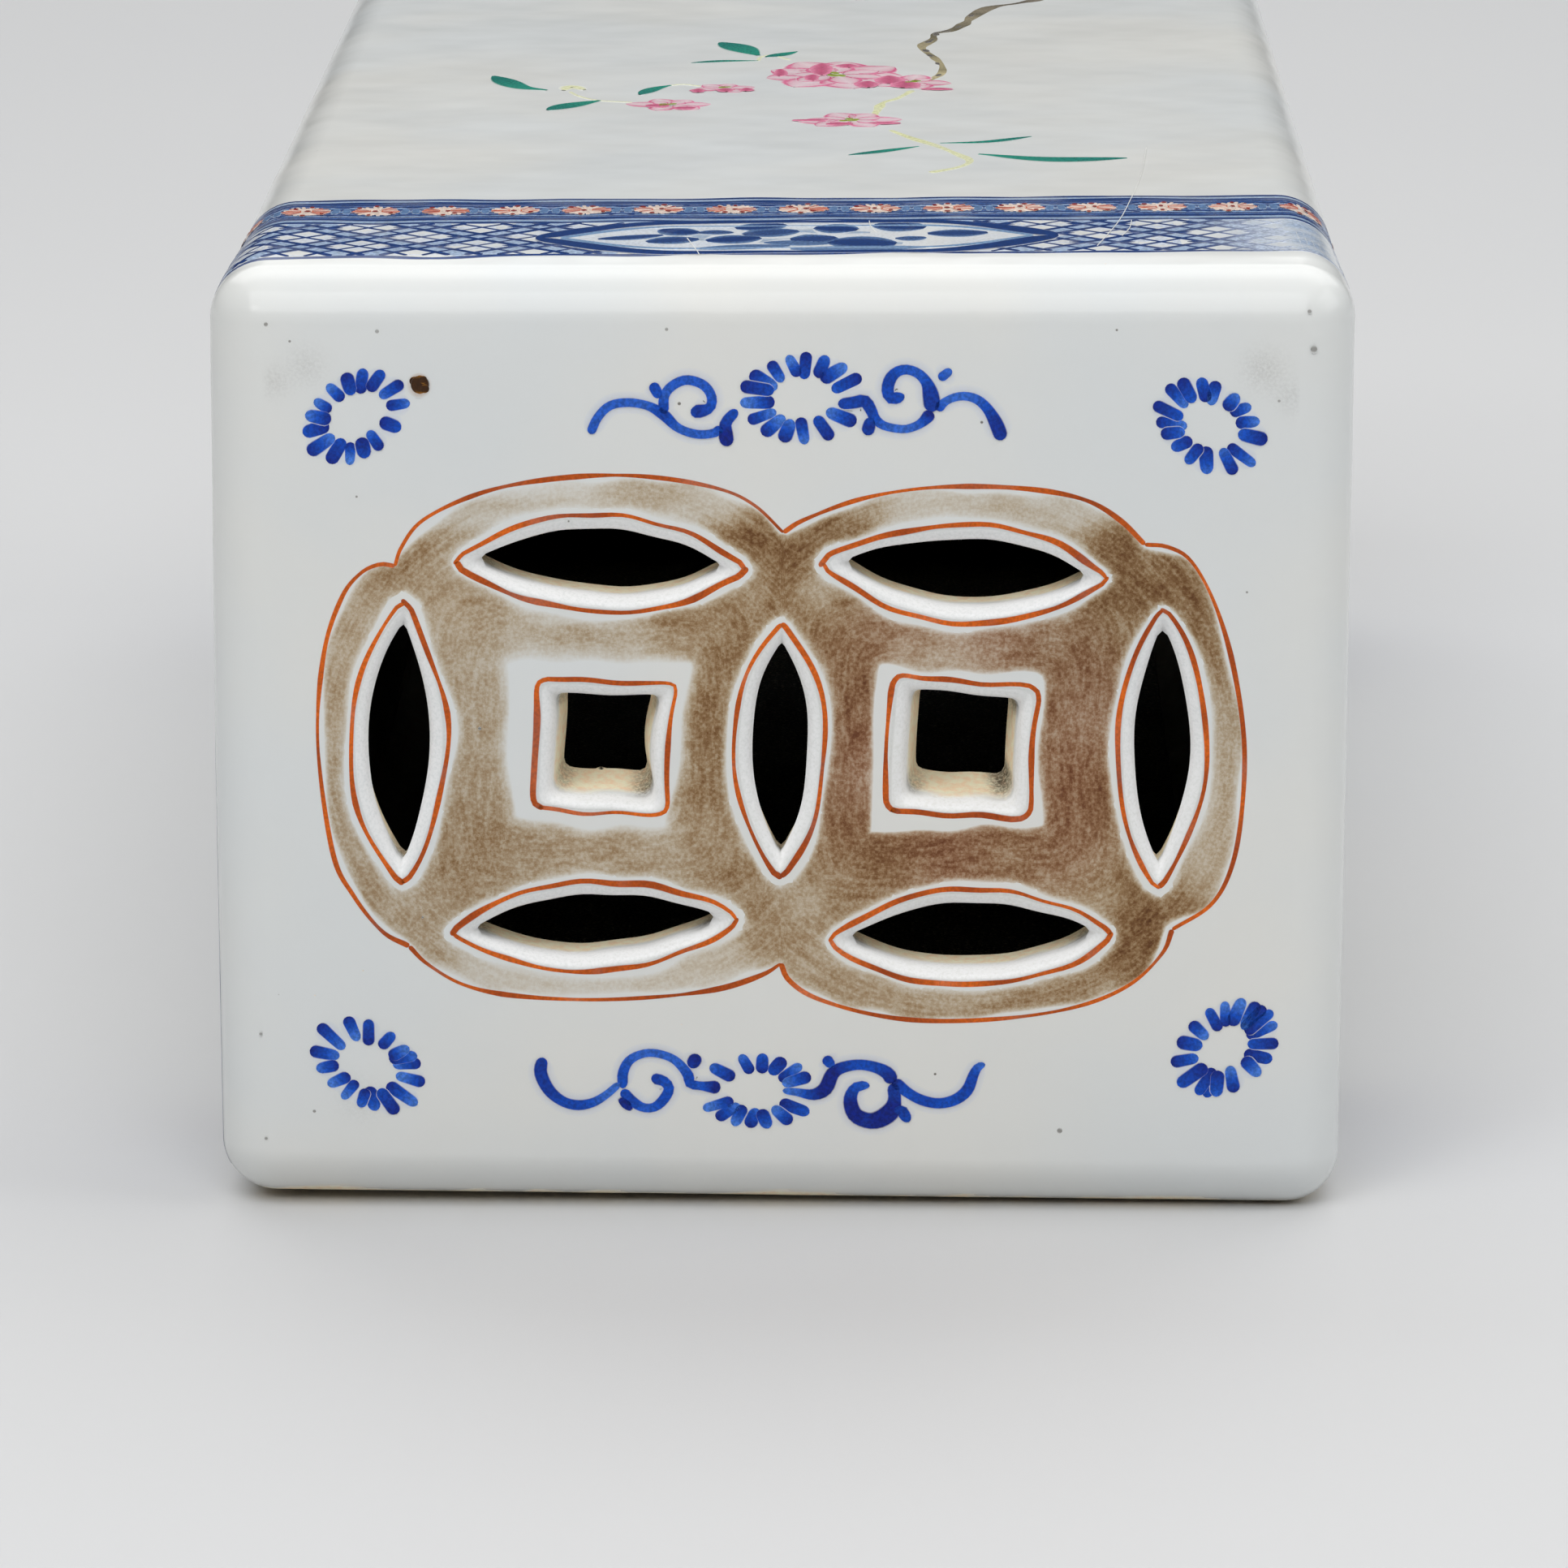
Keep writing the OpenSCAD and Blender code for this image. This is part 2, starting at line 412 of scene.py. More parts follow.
def make_wall(name, way, inner, nodes, material):
    """One long wall: its fired skin, and flat faces where it meets its neighbours and inside."""
    reach = BODY_L / 2 - END_T
    y = np.linspace(-reach, reach, steps_of(2 * reach, SKIN_STEP) + 1)
    rows, columns = len(y), len(way)
    points, normals = on_tube(np.tile(way, rows), np.repeat(y, columns))
    shell = Shell()
    shell.add(points, normals, grid_faces(rows, columns))
    corners = np.array([[x, end, z] for end in (-reach, reach) for x, z in inner], float)
    near_end = np.concatenate([points[:columns][::-1], corners[[0, 1]]])
    far_end = np.concatenate([points[-columns:], corners[[3, 2]]])
    start_seam = np.concatenate([points[::columns], corners[[2, 0]]])
    stop_seam = np.concatenate([points[columns - 1::columns][::-1], corners[[1, 3]]])
    for outline in (near_end, far_end, start_seam, stop_seam, corners[[0, 2, 3, 1]]):
        normal = np.cross(outline[0] - outline[-1], outline[-2] - outline[-1])
        facing = np.broadcast_to(normal / np.linalg.norm(normal), outline.shape).copy()
        many = len(outline)
        # Seam and inner faces: bare clay under near black painted shade.
        shell.add(outline, facing, [list(range(many))], np.ones(many), painted_inside_shade(many))
    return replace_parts(shell.finish(name, material), *nodes)


# Points along one side of an opening.
LEAF_STEPS = 30
SQUARE_STEPS = 15
# A leaf grows longer by this share for each millimetre that it is drawn in, to thin its lip at the tips.
LEAF_REACH = 0.032
# How far the knife and the brush swing, and the height in the pattern that makes their swings differ.
KNIFE_SWING = 0.16
BRUSH_SWING = 0.42
BRUSH_HEIGHT = 9.0


def disc_through(start, crown, stop):
    """Middle and radius of the circle through three points."""
    a, b, c = (complex(*p) for p in (start, crown, stop))
    ratio = (c - a) / (b - a)
    middle = a + (b - a) * (ratio - abs(ratio) ** 2) / (2j * ratio.imag)
    return np.array([middle.real, middle.imag]), abs(a - middle)


def parallel_leaf(corners, inset):
    """Outline of a leaf-shaped opening, drawn in from its lip and anticlockwise.

    corners are its first tip, the crown of its first side, its other tip and the other crown."""
    first_tip, first_crown, last_tip, last_crown = corners
    one, one_radius = disc_through(first_tip, first_crown, last_tip)
    two, two_radius = disc_through(last_tip, last_crown, first_tip)
    one_radius, two_radius = one_radius - inset, two_radius - inset
    apart = np.linalg.norm(two - one)
    ahead = (two - one) / apart
    reach = (apart**2 + one_radius**2 - two_radius**2) / (2 * apart)
    rise = math.sqrt(one_radius**2 - reach**2) * np.array([-ahead[1], ahead[0]])
    tips = [one + reach * ahead - rise, one + reach * ahead + rise]
    tips.sort(key=lambda tip: np.linalg.norm(tip - np.array(first_tip)))
    sides = [arc_between(one, tips[0], tips[1])[:-1], arc_between(two, tips[1], tips[0])[:-1]]
    leaf = softened(np.concatenate(sides), 1)
    longways = (tips[1] - tips[0]) / np.linalg.norm(tips[1] - tips[0])
    from_middle = (leaf - (tips[0] + tips[1]) / 2) @ longways
    return leaf + LEAF_REACH * inset * from_middle[:, None] * longways


def arc_between(middle, start, stop):
    """Points of a short arc round a middle, anticlockwise from start to stop."""
    first = math.atan2(*(start - middle)[::-1])
    sweep = (math.atan2(*(stop - middle)[::-1]) - first) % (2 * math.pi)
    angles = first + sweep * np.linspace(0, 1, LEAF_STEPS + 1)
    return middle + np.linalg.norm(start - middle) * np.stack([np.cos(angles), np.sin(angles)], -1)


def parallel_square(corners, inset):
    """Outline of a square opening, drawn in from its lip and rounded at its corners.

    corners run anticlockwise, each with the middle of the side after it."""
    corners = np.array(corners, float)
    middle = corners[0::2].mean(axis=0)
    half = np.linalg.norm(corners[0::2] - np.roll(corners[0::2], 1, axis=0), axis=1).mean() / 2
    corners = middle + (corners - middle) * (1 - inset / half)
    t = np.linspace(0, 1, SQUARE_STEPS + 1)[:-1, None]
    sides = []
    for a, bow, b in zip(corners[0::2], corners[1::2], np.roll(corners[0::2], -1, axis=0)):
        sides.append(a * (1 - t) * (1 - 2 * t) + 4 * bow * t * (1 - t) + b * t * (2 * t - 1))
    return softened(np.concatenate(sides), 2)


def softened(loop, passes):
    """A closed line with its corners eased."""
    for _ in range(passes):
        loop = loop / 2 + (np.roll(loop, 1, axis=0) + np.roll(loop, -1, axis=0)) / 4
    return loop


def hand_cut(loop):
    """A closed line with the small swings of a knife."""
    return loop + KNIFE_SWING * outward(loop) * swing_at(loop, WOBBLE)[:, None]


def outward(loop):
    """Outward normals along an anticlockwise closed line."""
    along = np.roll(loop, -1, axis=0) - np.roll(loop, 1, axis=0)
    along /= np.linalg.norm(along, axis=1, keepdims=True)
    return np.stack([along[:, 1], -along[:, 0]], -1)


# Leaf-shaped openings of the two coins at their lips, anticlockwise: a tip, a crown, a tip, a crown.
LEAVES = {
    "top_left": ((-39.6, 83.6), (-22.4, 77.4), (-3.9, 82.6), (-24.1, 89.3)),
    "left": ((-46.5, 42.4), (-40.9, 60.2), (-45.7, 78.7), (-52.5, 61.5)),
    "base_left": ((-41.0, 36.3), (-23.0, 31.6), (-4.9, 38.2), (-21.5, 43.0)),
    "middle": ((0.1, 43.4), (5.5, 60.8), (0.4, 76.6), (-5.4, 58.9)),
    "top_right": ((5.3, 83.6), (23.3, 76.2), (40.3, 81.6), (23.6, 88.2)),
    "right": ((46.6, 42.1), (52.2, 60.9), (46.7, 78.2), (41.4, 60.9)),
    "base_right": ((5.9, 35.7), (21.4, 29.9), (41.3, 36.6), (25.0, 42.0)),
}
# Square openings at their lips, anticlockwise from the lower left.
# Each corner is followed by the middle of the side after it.
SQUARES = {
    "left": ((-30.3, 52.5), (-22.3, 52.1), (-13.5, 51.7), (-14.0, 59.8), (-12.2, 68.4), (-21.0, 68.3),
             (-29.6, 68.8), (-29.6, 60.7)),
    "right": ((13.2, 52.3), (22.0, 51.6), (30.7, 51.5), (30.8, 59.4), (31.7, 67.7), (22.9, 68.7),
              (14.0, 69.7), (13.5, 59.8)),
}
# What the wash leaves white round the squares.
SPARED = {
    "left": ((-32.7, 51.0), (-13.6, 49.7), (-10.6, 70.9), (-33.5, 70.9)),
    "right": ((10.8, 49.1), (32.8, 50.0), (32.0, 69.5), (12.0, 71.0)),
}
# Middles of the two coins.
COINS = np.array([[-22.4, 60.2], [22.8, 60.2]])


def opening(name, inset):
    """Outline of an opening at some way in from its lip."""
    kind, key = name
    drawn = parallel_leaf(LEAVES[key], inset) if kind == "leaf" else parallel_square(SQUARES[key], inset)
    return hand_cut(drawn)


OPENINGS = [("leaf", key) for key in LEAVES] + [("square", key) for key in SQUARES]

# Lobes of the two coins' outer line, clockwise from the lower left, as the points that the brush passes.
COIN_LOBES = (
    ((-45.7, 34.6), (-49.0, 36.5), (-52.5, 41.1), (-55.0, 46.7), (-56.6, 60.6), (-55.7, 72.0),
     (-53.5, 78.9), (-51.2, 82.0), (-48.8, 83.2), (-46.9, 83.0)),
    ((-46.9, 83.0), (-46.0, 85.5), (-43.5, 88.7), (-37.9, 91.6), (-31.4, 93.4), (-22.2, 94.4),
     (-14.4, 94.1), (-7.1, 92.7), (-3.0, 90.7), (0.5, 87.3)),
    ((0.5, 87.3), (3.0, 88.9), (9.5, 91.4), (16.8, 92.8), (24.6, 93.1), (31.9, 92.6), (37.5, 91.3),
     (41.4, 88.9), (44.4, 85.9)),
    ((44.4, 85.9), (47.2, 85.6), (50.0, 83.9), (52.8, 79.0), (55.2, 71.5), (56.8, 61.9), (56.8, 53.3),
     (55.7, 45.6), (53.2, 40.5), (48.4, 37.2)),
    ((48.4, 37.2), (47.2, 34.1), (43.3, 30.1), (37.2, 27.3), (28.8, 25.7), (19.0, 25.2), (11.5, 26.0),
     (4.5, 28.1), (1.2, 30.4), (0.2, 32.6)),
    ((0.2, 32.6), (-2.1, 31.1), (-7.2, 29.3), (-14.3, 28.2), (-23.6, 27.7), (-33.0, 28.2),
     (-39.1, 29.6), (-43.5, 32.3), (-45.7, 34.6)),
)


def distance_to(points, loop):
    """Shortest way from each point to a closed line."""
    best = np.full(len(points), np.inf)
    for p, q in zip(loop, np.roll(loop, -1, axis=0)):
        t = np.clip((points - p) @ (q - p) / max((q - p) @ (q - p), 1e-9), 0, 1)
        best = np.minimum(best, np.linalg.norm(points - p - t[:, None] * (q - p), axis=1))
    return best


def within(points, loop):
    """Whether each point is inside a closed line."""
    x, y = points.T
    found = np.zeros(len(points), bool)
    for (ax, ay), (bx, by) in zip(loop, np.roll(loop, -1, axis=0)):
        crosses = (ay > y) != (by > y)
        at = ax + (y - ay) * (bx - ax) / (by - ay if by != ay else 1e-9)
        found ^= crosses & (x < at)
    return found


# Dabs of the sepia wash: x, z, reach across, reach up and how many layers thick it lies there.
DABS = (
    (-36.4, 63.9, 3, 10, 1.2), (-26.0, 71.6, 9, 1.5, 0.6), (-38.5, 77.3, 4, 4, 1.4),
    (-7.1, 76.3, 4, 4, 2.2), (-8.5, 63.4, 3, 10, 2.1), (-22.3, 48.1, 9, 3, 1.2),
    (-39.0, 44.7, 4, 4, 2.2), (-8.0, 47.1, 4, 4, 1.8), (-26.0, 91.7, 11, 2, 0.35),
    (1.2, 85.0, 3, 3, 2.4), (-53.7, 66.0, 2, 10, 1.25), (-51.4, 75.4, 3, 3, 0.95),
    (-45.0, 81.4, 3, 3, 1.65), (-45.4, 39.9, 4, 4, 1.1), (-23.7, 29.6, 11, 2, 0.45),
    (-7.6, 32.3, 4, 3, 0.45), (-0.2, 37.5, 4, 4, 1.45), (9.0, 61.5, 3, 10, 2.5), (7.2, 76.9, 4, 4, 1.9),
    (20.0, 73.5, 9, 3, 1.4), (36.2, 74.5, 5, 5, 2.4), (35.7, 60.6, 4, 10, 2.35),
    (21.9, 46.2, 10, 3, 2.5), (39.4, 42.4, 5, 5, 1.5), (7.2, 44.3, 4, 4, 1.6),
    (24.7, 90.8, 11, 2, 0.55), (5.3, 86.9, 4, 3, 2.3), (45.8, 83.4, 4, 4, 2.4), (51.3, 76.9, 3, 5, 2.1),
    (54.3, 58.7, 2, 9, 1.25), (53.6, 44.8, 3, 4, 1.1), (46.3, 38.1, 4, 4, 3.5),
    (22.8, 27.5, 12, 2, 1.45), (4.6, 80.2, 1.4, 2.2, 0.55), (3.6, 40.6, 1.6, 1.8, 0.8),
    (-4.6, 79.4, 1.4, 2.2, 0.9), (-23.9, 74.2, 8, 0.8, 0.95), (-30.2, 76.6, 3, 1.5, 0.45),
    (-17.3, 47.7, 8, 0.8, 1.5), (-35.5, 45.2, 3, 3, 1.5), (-26.5, 90.9, 7, 0.6, 1.0),
    (-16.7, 92.3, 3, 1, 1.2), (-52.8, 74.6, 1.6, 3, 1.6), (-50.1, 41.4, 2.4, 2, 1.9),
    (-7.8, 32.6, 2.5, 1, 0.95),
)
# Each dab spreads past its reach by this much.
DAB_SPREAD = 1.3
# Inside this reach from a coin's middle the brush went along the sides of its square, and else round it.
SQUARE_REACH = 21.0
# Brush lines are this much longer than they are apart, and this is how far round a coin they count.
BRUSH_LENGTH = 8
BRUSH_ROUND = 26
# The wash turns from olive to brown inside this reach from the right coin's middle, over this much.
BROWN_REACH = 26
BROWN_FADE = 8
# Where soil clings to the ends: x, z, reach and how thickly.
SOIL = (
    (-57.5, 108, 2.2, 0.1), (-61.5, 106, 1.6, 0.12), (58.5, 107.5, 2.4, 0.14), (62, 104, 1.8, 0.1),
    (-52, 14, 3, 0.06),
)


def soiled(xz):
    """Faint soil on the flat of an end."""
    density = np.zeros(len(xz))
    for x, z, reach, more in SOIL:
        density += more * np.exp(-((xz - [x, z]) ** 2).sum(axis=1) / reach**2)
    return np.concatenate([np.broadcast_to(DIRT_AND_SHADE, (len(xz), 3)), density[:, None]], axis=1)


def sepia(xz):
    """What the wash on the coins lets through, how thick it lies, and the run of the brush there."""
    dabs = np.array(DABS)
    away = (((xz[:, None, :] - dabs[:, :2]) / (DAB_SPREAD * dabs[:, 2:4])) ** 2).sum(axis=2)
    weights = np.exp(-away) + 1e-6 / (1 + away)
    layers = weights @ dabs[:, 4] / weights.sum(axis=1)
    offsets = xz[:, None, :] - COINS
    to_right_coin = np.linalg.norm(offsets[:, 1], axis=1)
    warm = smooth((BROWN_REACH - to_right_coin) / BROWN_FADE) * (0.78 + 0.25 * swing_at(xz, PATCHY))
    stain = between(OLIVE_STAIN, BROWN_STAIN, warm)
    nearest = np.argmin(np.linalg.norm(offsets, axis=2), axis=1)
    offset = offsets[np.arange(len(xz)), nearest]
    squarish = (np.abs(offset) ** 8).sum(axis=1) ** 0.125
    squared = squarish < SQUARE_REACH
    across = np.where(squared, squarish, np.linalg.norm(offset, axis=1))
    dx, dz = offset.T
    along = BRUSH_ROUND * np.arctan2(dz - dx, dx + dz)
    brush = np.stack([across, along / BRUSH_LENGTH, np.where(squared, 40.0, 80.0)], -1)
    return np.concatenate([stain, layers[:, None]], axis=1), brush


def shifted(loop, out, swing=BRUSH_SWING):
    """A closed anticlockwise line moved outwards, with the swings of a brush."""
    return loop + outward(loop) * (out + swing * swing_at(loop, WOBBLE, BRUSH_HEIGHT))[:, None]


# Distances from the rim of the wash, and the share of its density there.
WASH_FADE = ((0.0, 0.14, 0.5, 0.9, 1.5), (0.0, 0.02, 0.5, 0.86, 1.0))
# It fades over this many times those distances along the outer line, and round the openings.
OUTER_FADE = 0.9
LEAF_FADE = 1.1
SPARED_FADE = {"left": 2.1, "right": 1.0}
# How far outside each of those lines its rim lies.
OUTER_RIM = -0.3
LEAF_RIM = 0.8
SPARED_RIM = -0.4


def make_wash(name, place, material):
    """The sepia wash on one end, as one film between the coins' outer line and the openings."""
    edge = even(np.concatenate([curve(lobe)[:-1] for lobe in COIN_LOBES])[::-1], 0.7)[:-1]
    lines = [(edge, OUTER_RIM, -1, OUTER_FADE)]
    for kind, key in OPENINGS:
        if kind == "leaf":
            lines.append((parallel_leaf(LEAVES[key], 0), LEAF_RIM, 1, LEAF_FADE))
        else:
            corners = np.array(SPARED[key])
            spared = softened(even(np.concatenate([corners, corners[:1]]), 0.7)[:-1], 1)
            lines.append((spared, SPARED_RIM, 1, SPARED_FADE[key]))
    rims = [shifted(line, out) for line, out, _, _ in lines]
    rows = WASH_FADE[0][1:-1]
    inner = [shifted(line, out + way * fade * more) for line, out, way, fade in lines for more in rows]
    places, triangles = filled(rims[0], rims[1:], 0.8, np.concatenate(inner))
    paint, brush = sepia(places)
    fades = [fade for _, _, _, fade in lines]
    to_rim = np.min([distance_to(places, rim) / fade for rim, fade in zip(rims, fades)], axis=0)
    paint[:, 3] *= np.interp(to_rim, *WASH_FADE)
    points, normals = fired(*place(*places.T))
    points = points + normals * np.where(to_rim < 0.02, -RIM, FILM)[:, None]
    corners = np.array(triangles).ravel()
    return make_piece(name, points, triangles, normals[corners], material, paint=paint, brush=brush)


def filled(outline, loops, step, more=None):
    """Triangles between an outline and the loops cut out of it, on a grid and through more points."""
    low, high = outline.min(axis=0), outline.max(axis=0)
    across = np.arange(low[0] + step, high[0] - step / 2, step)
    up = np.arange(low[1] + step, high[1] - step / 2, step)
    inner = np.stack(np.meshgrid(across, up), -1).reshape(-1, 2)
    keep = within(inner, outline) & (distance_to(inner, outline) > step * 0.45)
    for loop in loops:
        keep &= ~within(inner, loop) & (distance_to(inner, loop) > step * 0.5)
    inner = inner[keep]
    if more is not None:
        near = np.linalg.norm(inner[:, None, :] - more, axis=2).min(axis=1)
        inner = np.concatenate([inner[near > step * 0.5], more])
    lines, points, start = [], [], 0
    for loop in (outline, *loops):
        lines += [(start + i, start + (i + 1) % len(loop)) for i in range(len(loop))]
        points.append(loop)
        start += len(loop)
    flat = np.concatenate([*points, inner])
    made = delaunay_2d_cdt([Vector(p) for p in flat], lines, [], 0, 1e-5)
    places = np.array([list(p) for p in made[0]])
    triangles = np.array(made[2])
    middles = places[triangles].mean(axis=1)
    keep = within(middles, outline)
    for loop in loops:
        keep &= ~within(middles, loop)
    triangles = triangles[keep]
    a, b, c = (places[triangles[:, i]] for i in range(3))
    area = (b[:, 0] - a[:, 0]) * (c[:, 1] - a[:, 1]) - (b[:, 1] - a[:, 1]) * (c[:, 0] - a[:, 0])
    triangles = np.where((area > 0)[:, None], triangles, triangles[:, ::-1])
    return places, triangles[np.abs(area) > 1e-7].tolist()


# From behind its lip to its back an opening draws in this much, or widens where this is below 0.
TAPER = {"leaf": -0.9, "square": 1.2}
# How far into the openings the glaze runs, and how white their lips are painted: partly glaze pooled
# there, partly painted light.
GLAZED_IN = {"leaf": 5.2, "square": 3.0}
LIP_WHITE = 0.9
# The walls of the openings are straight, but their shading normals turn at most this far from straight
# ahead, so that they catch the light as softer edges do.
WALL_LEAN = math.radians(60)
# How dark their tips and corners are painted as shade, and how deep that painted shade starts and how
# soon it is full.
OPENING_SHADE = {"leaf": 0.5, "square": 0.35}
OPENING_SHADE_FROM = 1.2
OPENING_SHADE_FADE = 3.0
# The whiter lip, pooled glaze with painted light, ends this far past the rest, and fades over this much.
POOL_PAST = 0.8
POOL_FADE = 1.5
# Rings of points round a lip, and down the wall behind it.
LIP_STEPS = 6
WALL_STEPS = 6


def opening_rings(kind):
    """From the lip of an opening to its back: how far it is drawn in, its depth and its lean."""
    turns = np.linspace(0, math.pi / 2, LIP_STEPS + 1)
    lip = [(LIP_R * math.sin(t), LIP_R * (1 - math.cos(t)), min(t, WALL_LEAN)) for t in turns]
    deep = np.linspace(LIP_R, END_T, WALL_STEPS + 1)[1:]
    return lip + [(LIP_R + TAPER[kind] * (d - LIP_R) / (END_T - LIP_R), d, WALL_LEAN) for d in deep]


def add_opening(shell, name):
    """One opening through an end, glazed at its lip and bare behind; gives its outline at the back."""
    kind = name[0]
    rings = opening_rings(kind)
    glazed = GLAZED_IN[kind]
    points, normals, bare, paint = [], [], [], []
    for inset, depth, lean in rings:
        loop = opening(name, inset)
        inward = -outward(loop) * math.sin(lean)
        place = np.stack([loop[:, 0], np.full(len(loop), FRONT + depth), loop[:, 1]], -1)
        rough = unevenness(place, WOBBLE)
        points.append(place)
        normals.append(np.stack([inward[:, 0], np.full(len(loop), -math.cos(lean)), inward[:, 1]], -1))
        bare.append(smooth(depth - glazed - 0.5 * rough))
        # Tips and corners are painted darker deeper in: painted shade.
        soil = OPENING_SHADE[kind] + 0.3 * rough
        deep_shade = np.clip(corner_share(loop) * smooth((depth - OPENING_SHADE_FROM) / OPENING_SHADE_FADE) * soil, 0, 0.9)
        # Lips whiter where they turn into the opening: pooled glaze and painted light.
        pooled_and_lit = LIP_WHITE * math.sin(lean) ** 0.6 * smooth((glazed + POOL_PAST - depth) / POOL_FADE)
        tint = (DIRT_AND_SHADE * deep_shade[:, None] + POOLED_AND_LIT_WHITE * pooled_and_lit) / (deep_shade[:, None] + pooled_and_lit + 1e-6)
        paint.append(np.concatenate([tint, np.maximum(deep_shade, pooled_and_lit)[:, None]], axis=1))
    shell.add(
        np.concatenate(points), np.concatenate(normals), grid_faces(len(rings), len(loop), closed=True),
        bare=np.concatenate(bare), paint=np.concatenate(paint),
    )
    return loop


def rim_outline(points):
    """A row of points round an end as a closed anticlockwise line, with no point twice."""
    rim = points[:, [0, 2]].round(6)
    return rim[np.any(rim != np.roll(rim, 1, axis=0), axis=1)][::-1]


def make_end(name, nodes, material, turn):
    """A pierced end: rounded rim, flat face, openings with rolled lips, and a bare back."""
    shell = Shell()
    depths = EDGE_R * (1 - np.sin(np.linspace(math.pi / 2, 0, EDGE_STEPS + 1)))
    depths = np.concatenate([depths, [END_T]])
    rows, columns = len(depths), len(ROUND_GRID)
    points, normals = on_tube(np.tile(ROUND_GRID, rows), np.repeat(FRONT + depths, columns))
    shell.add(points, normals, grid_faces(rows, columns))

    lips = [opening(name_of, 0) for name_of in OPENINGS]
    places, triangles = filled(rim_outline(points[:columns]), lips, FACE_STEP)
    shell.add(*on_front(*places.T), triangles, paint=soiled(places))

    backs = [add_opening(shell, name_of) for name_of in OPENINGS]
    places, triangles = filled(rim_outline(points[-columns:]), backs, 4 * FACE_STEP)
    points, normals = on_front(*places.T)
    points[:, 1] += END_T
    # The back of an end: bare clay under near black painted shade.
    shell.add(points, -normals, [t[::-1] for t in triangles], np.ones(len(points)), painted_inside_shade(len(points)))
    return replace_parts(shell.finish(name, material, turn), *nodes)


def corner_share(loop):
    """How near each point of an opening's outline is to one of its tips or corners, from 0 to 1."""
    ahead = np.roll(loop, -2, axis=0) - loop
    back = loop - np.roll(loop, 2, axis=0)
    turn = np.abs(ahead[:, 0] * back[:, 1] - ahead[:, 1] * back[:, 0])
    share = turn / (np.linalg.norm(ahead, axis=1) * np.linalg.norm(back, axis=1) + 1e-9)
    for _ in range(3):
        share = np.maximum(share, (np.roll(share, 1) + np.roll(share, -1)) / 2)
    return smooth((share - 0.12) / 0.6)


